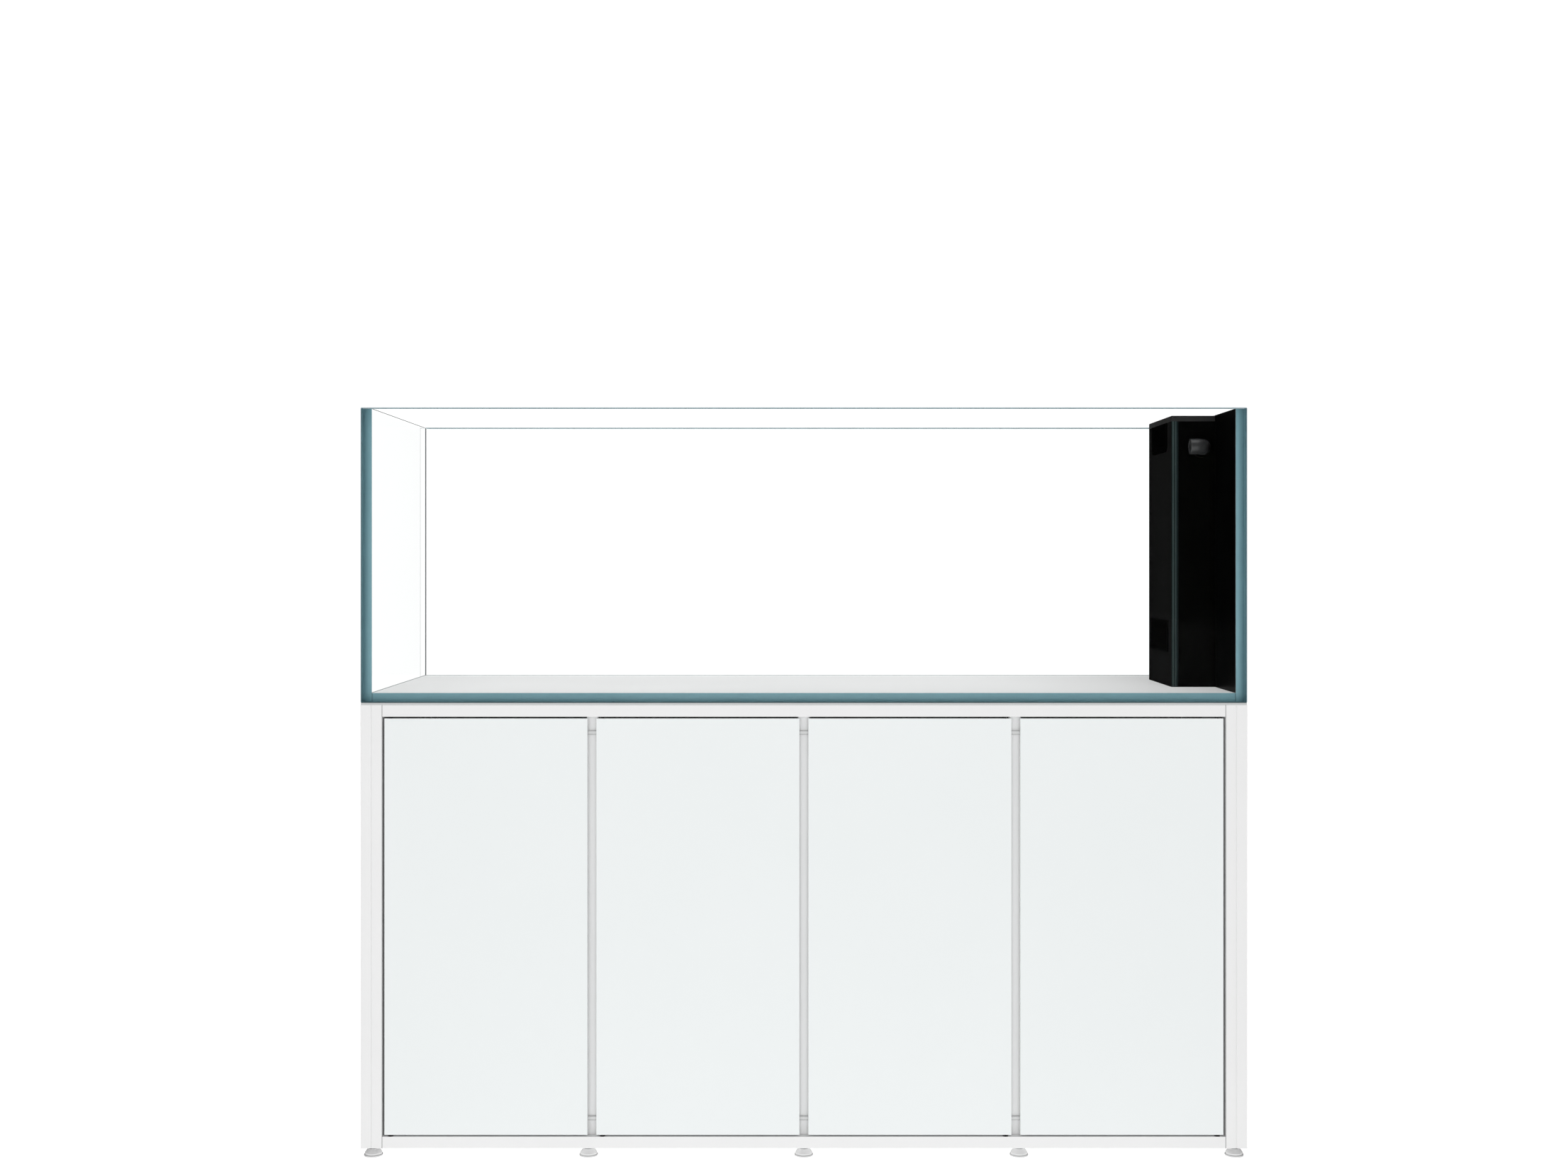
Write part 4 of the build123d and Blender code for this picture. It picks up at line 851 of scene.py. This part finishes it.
# %% [markdown]
# ## Fastenings and small parts
# Each of these is made once at the origin, where it stands on the ground plane. Copies of it are
# then set on their spots and joined.


# %% Copies on their spots
def standing_cylinder(sides, radius, height):
    bpy.ops.object.select_all(action="DESELECT")
    middle = (0, 0, height / 2)
    bpy.ops.mesh.primitive_cylinder_add(
        vertices=sides, radius=radius, depth=height, location=middle
    )
    bpy.ops.object.transform_apply(location=True, rotation=True, scale=True)
    return bpy.context.object


def copy_onto(master, point, facing):
    """A copy of a piece made at the origin, set on a point so that its top looks along facing."""
    bpy.ops.object.select_all(action="DESELECT")
    master.select_set(True)
    bpy.context.view_layer.objects.active = master
    bpy.ops.object.duplicate()
    copy = bpy.context.object
    copy.location = point
    copy.rotation_euler = Vector(facing).to_track_quat("Z", "Y").to_euler()
    bpy.ops.object.transform_apply(location=True, rotation=True, scale=True)
    return copy


def spread(master, spots, name, finish, body="cabinet_and_tank"):
    """One piece of copies, each on a spot, which is a point and a facing."""
    copies = [copy_onto(master, point, facing) for point, facing in spots]
    bpy.data.objects.remove(master)
    return join_pieces(copies, name, finish, body)


# %% [markdown]
# The clips that hold the fixed panels have button-head screws. One head is turned from a cylinder:
# its rim is rounded, and a six-sided bar cuts the socket. Copies of it go on both legs of every
# clip.

# %% Screws on the panel clips
SCREW_RADIUS = 0.0042
SCREW_HEAD = 0.0024
SCREW_ROUND = 0.7
SOCKET_RADIUS = 0.0017
CLIP_STEEL = 0.003
CLIP_SCREW = 0.011
CLIP_LEVELS = (0.116, 0.470, 0.824)


def button_screw():
    """A button head with its socket upwards."""
    head = standing_cylinder(24, SCREW_RADIUS, SCREW_HEAD)

    def upper(edge):
        return all(head.data.vertices[v].co.z > SCREW_HEAD / 2 for v in edge.vertices)

    edit_only(head, "EDGE", upper)
    bpy.ops.mesh.bevel(offset=SCREW_HEAD * SCREW_ROUND, segments=4, affect="EDGES")
    bpy.ops.object.mode_set(mode="OBJECT")
    top = (0, 0, SCREW_HEAD)
    bpy.ops.mesh.primitive_cylinder_add(
        vertices=6, radius=SOCKET_RADIUS, depth=SCREW_HEAD, location=top
    )
    bar = bpy.context.object
    cut = head.modifiers.new("socket", "BOOLEAN")
    cut.object = bar
    bpy.context.view_layer.objects.active = head
    bpy.ops.object.modifier_apply(modifier=cut.name)
    bpy.data.objects.remove(bar)
    return head


panel_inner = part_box("side_panel_right")[0].x
post_low, post_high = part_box("post_front_right")
rear_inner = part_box("rear_panels")[0].y
clip_corners = []
for side in (-1, 1):
    clip_corners += [(side * panel_inner, y, -side) for y in (post_high.y, -post_high.y)]
    clip_corners.append((side * post_low.x, rear_inner, -side))
spots = []
for x, y, x_way in clip_corners:
    y_way = -1 if y > 0 else 1
    for z in CLIP_LEVELS:
        on_x_leg = (x + x_way * CLIP_SCREW, y + y_way * CLIP_STEEL, z)
        on_y_leg = (x + x_way * CLIP_STEEL, y + y_way * CLIP_SCREW, z)
        spots += [(on_x_leg, (0, y_way, 0)), (on_y_leg, (x_way, 0, 0))]
clip_screws = spread(button_screw(), spots, "clip_screws", zinc)

# %% [markdown]
# The pump draws through a slotted cap on the end of its volute. The cap is a cylinder whose rim is
# rounded; every face of its side is then inset and pushed inwards, which leaves a rib between each
# two slots.

# %% Pump cap
PUMP_PLATE = 0.008
CAP_RADIUS = 0.027
CAP_REACH = 0.014
CAP_EDGE = 0.003
SLOT_DEPTH = 0.003
RIB_HALF = 0.0009
UPRIGHT_SIDE = 0.1
TOWARDS_X = (1, 0, 0)
pump_low, pump_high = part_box("return_pump")
motor_y = (pump_low.y + pump_high.y) / 2
motor_z = pump_low.z + PUMP_PLATE + (pump_high.y - pump_low.y) / 2


def slotted_cap():
    cap = standing_cylinder(36, CAP_RADIUS, CAP_REACH)
    edit_only(cap, "FACE", lambda face: face.normal.z > FLAT)
    bpy.ops.mesh.bevel(offset=CAP_EDGE, segments=3, affect="EDGES")
    edit_only(cap, "FACE", lambda face: abs(face.normal.z) < UPRIGHT_SIDE)
    bpy.ops.mesh.inset(thickness=RIB_HALF, depth=-SLOT_DEPTH, use_individual=True)
    bpy.ops.object.mode_set(mode="OBJECT")
    return cap


spots = [((pump_high.x, motor_y, motor_z), TOWARDS_X)]
pump_cap = spread(slotted_cap(), spots, "pump_intake_cap", moulded_black)

# %% [markdown]
# Rings stiffen the motor's shell. An open cylinder gets its wall from a Solidify modifier and its
# round edges from a Bevel modifier, and five copies go along the motor.

# %% Motor rings
RING_RADIUS = 0.0375
RING_WIDTH = 0.004
RING_WALL = 0.002
RING_EDGE = 0.0007
RING_FIRST = 0.018
RING_PITCH = 0.015
RINGS = 5
bpy.ops.object.select_all(action="DESELECT")
bpy.ops.mesh.primitive_cylinder_add(
    vertices=64, radius=RING_RADIUS, depth=RING_WIDTH, end_fill_type="NOTHING"
)
ring = bpy.context.object
wall = ring.modifiers.new("wall", "SOLIDIFY")
wall.thickness = RING_WALL
edge = ring.modifiers.new("edge", "BEVEL")
edge.width = RING_EDGE
edge.segments = 2
for modifier in (wall, edge):
    bpy.ops.object.modifier_apply(modifier=modifier.name)
first_x = pump_low.x + RING_FIRST
spots = [((first_x + n * RING_PITCH, motor_y, motor_z), TOWARDS_X) for n in range(RINGS)]
pump_rings = spread(ring, spots, "pump_motor_rings", moulded_black)

# %% [markdown]
# The valve's lever has ridges for a wet thumb. One small bar is rounded and copied up the paddle.

# %% Lever ridges
RIDGE_HALF = Vector((0.0045, 0.001, 0.0008))
RIDGE_PITCH = 0.007
RIDGES = 5
RIDGE_FIRST = 0.012
lever_low, lever_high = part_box("valve_lever")
lever_x = (lever_low.x + lever_high.x) / 2
top_z = lever_high.z - RIDGE_FIRST
ridge = joint_strip(-RIDGE_HALF, RIDGE_HALF)
spots = [((lever_x, lever_low.y, top_z - n * RIDGE_PITCH), (0, -1, 0)) for n in range(RIDGES)]
lever_ridges = spread(ridge, spots, "lever_ridges", red_lever, "valve_lever")

# %% [markdown]
# ## End
# The visual model has to stay within the solids' own box.

# %% Finish
print("scene ready")
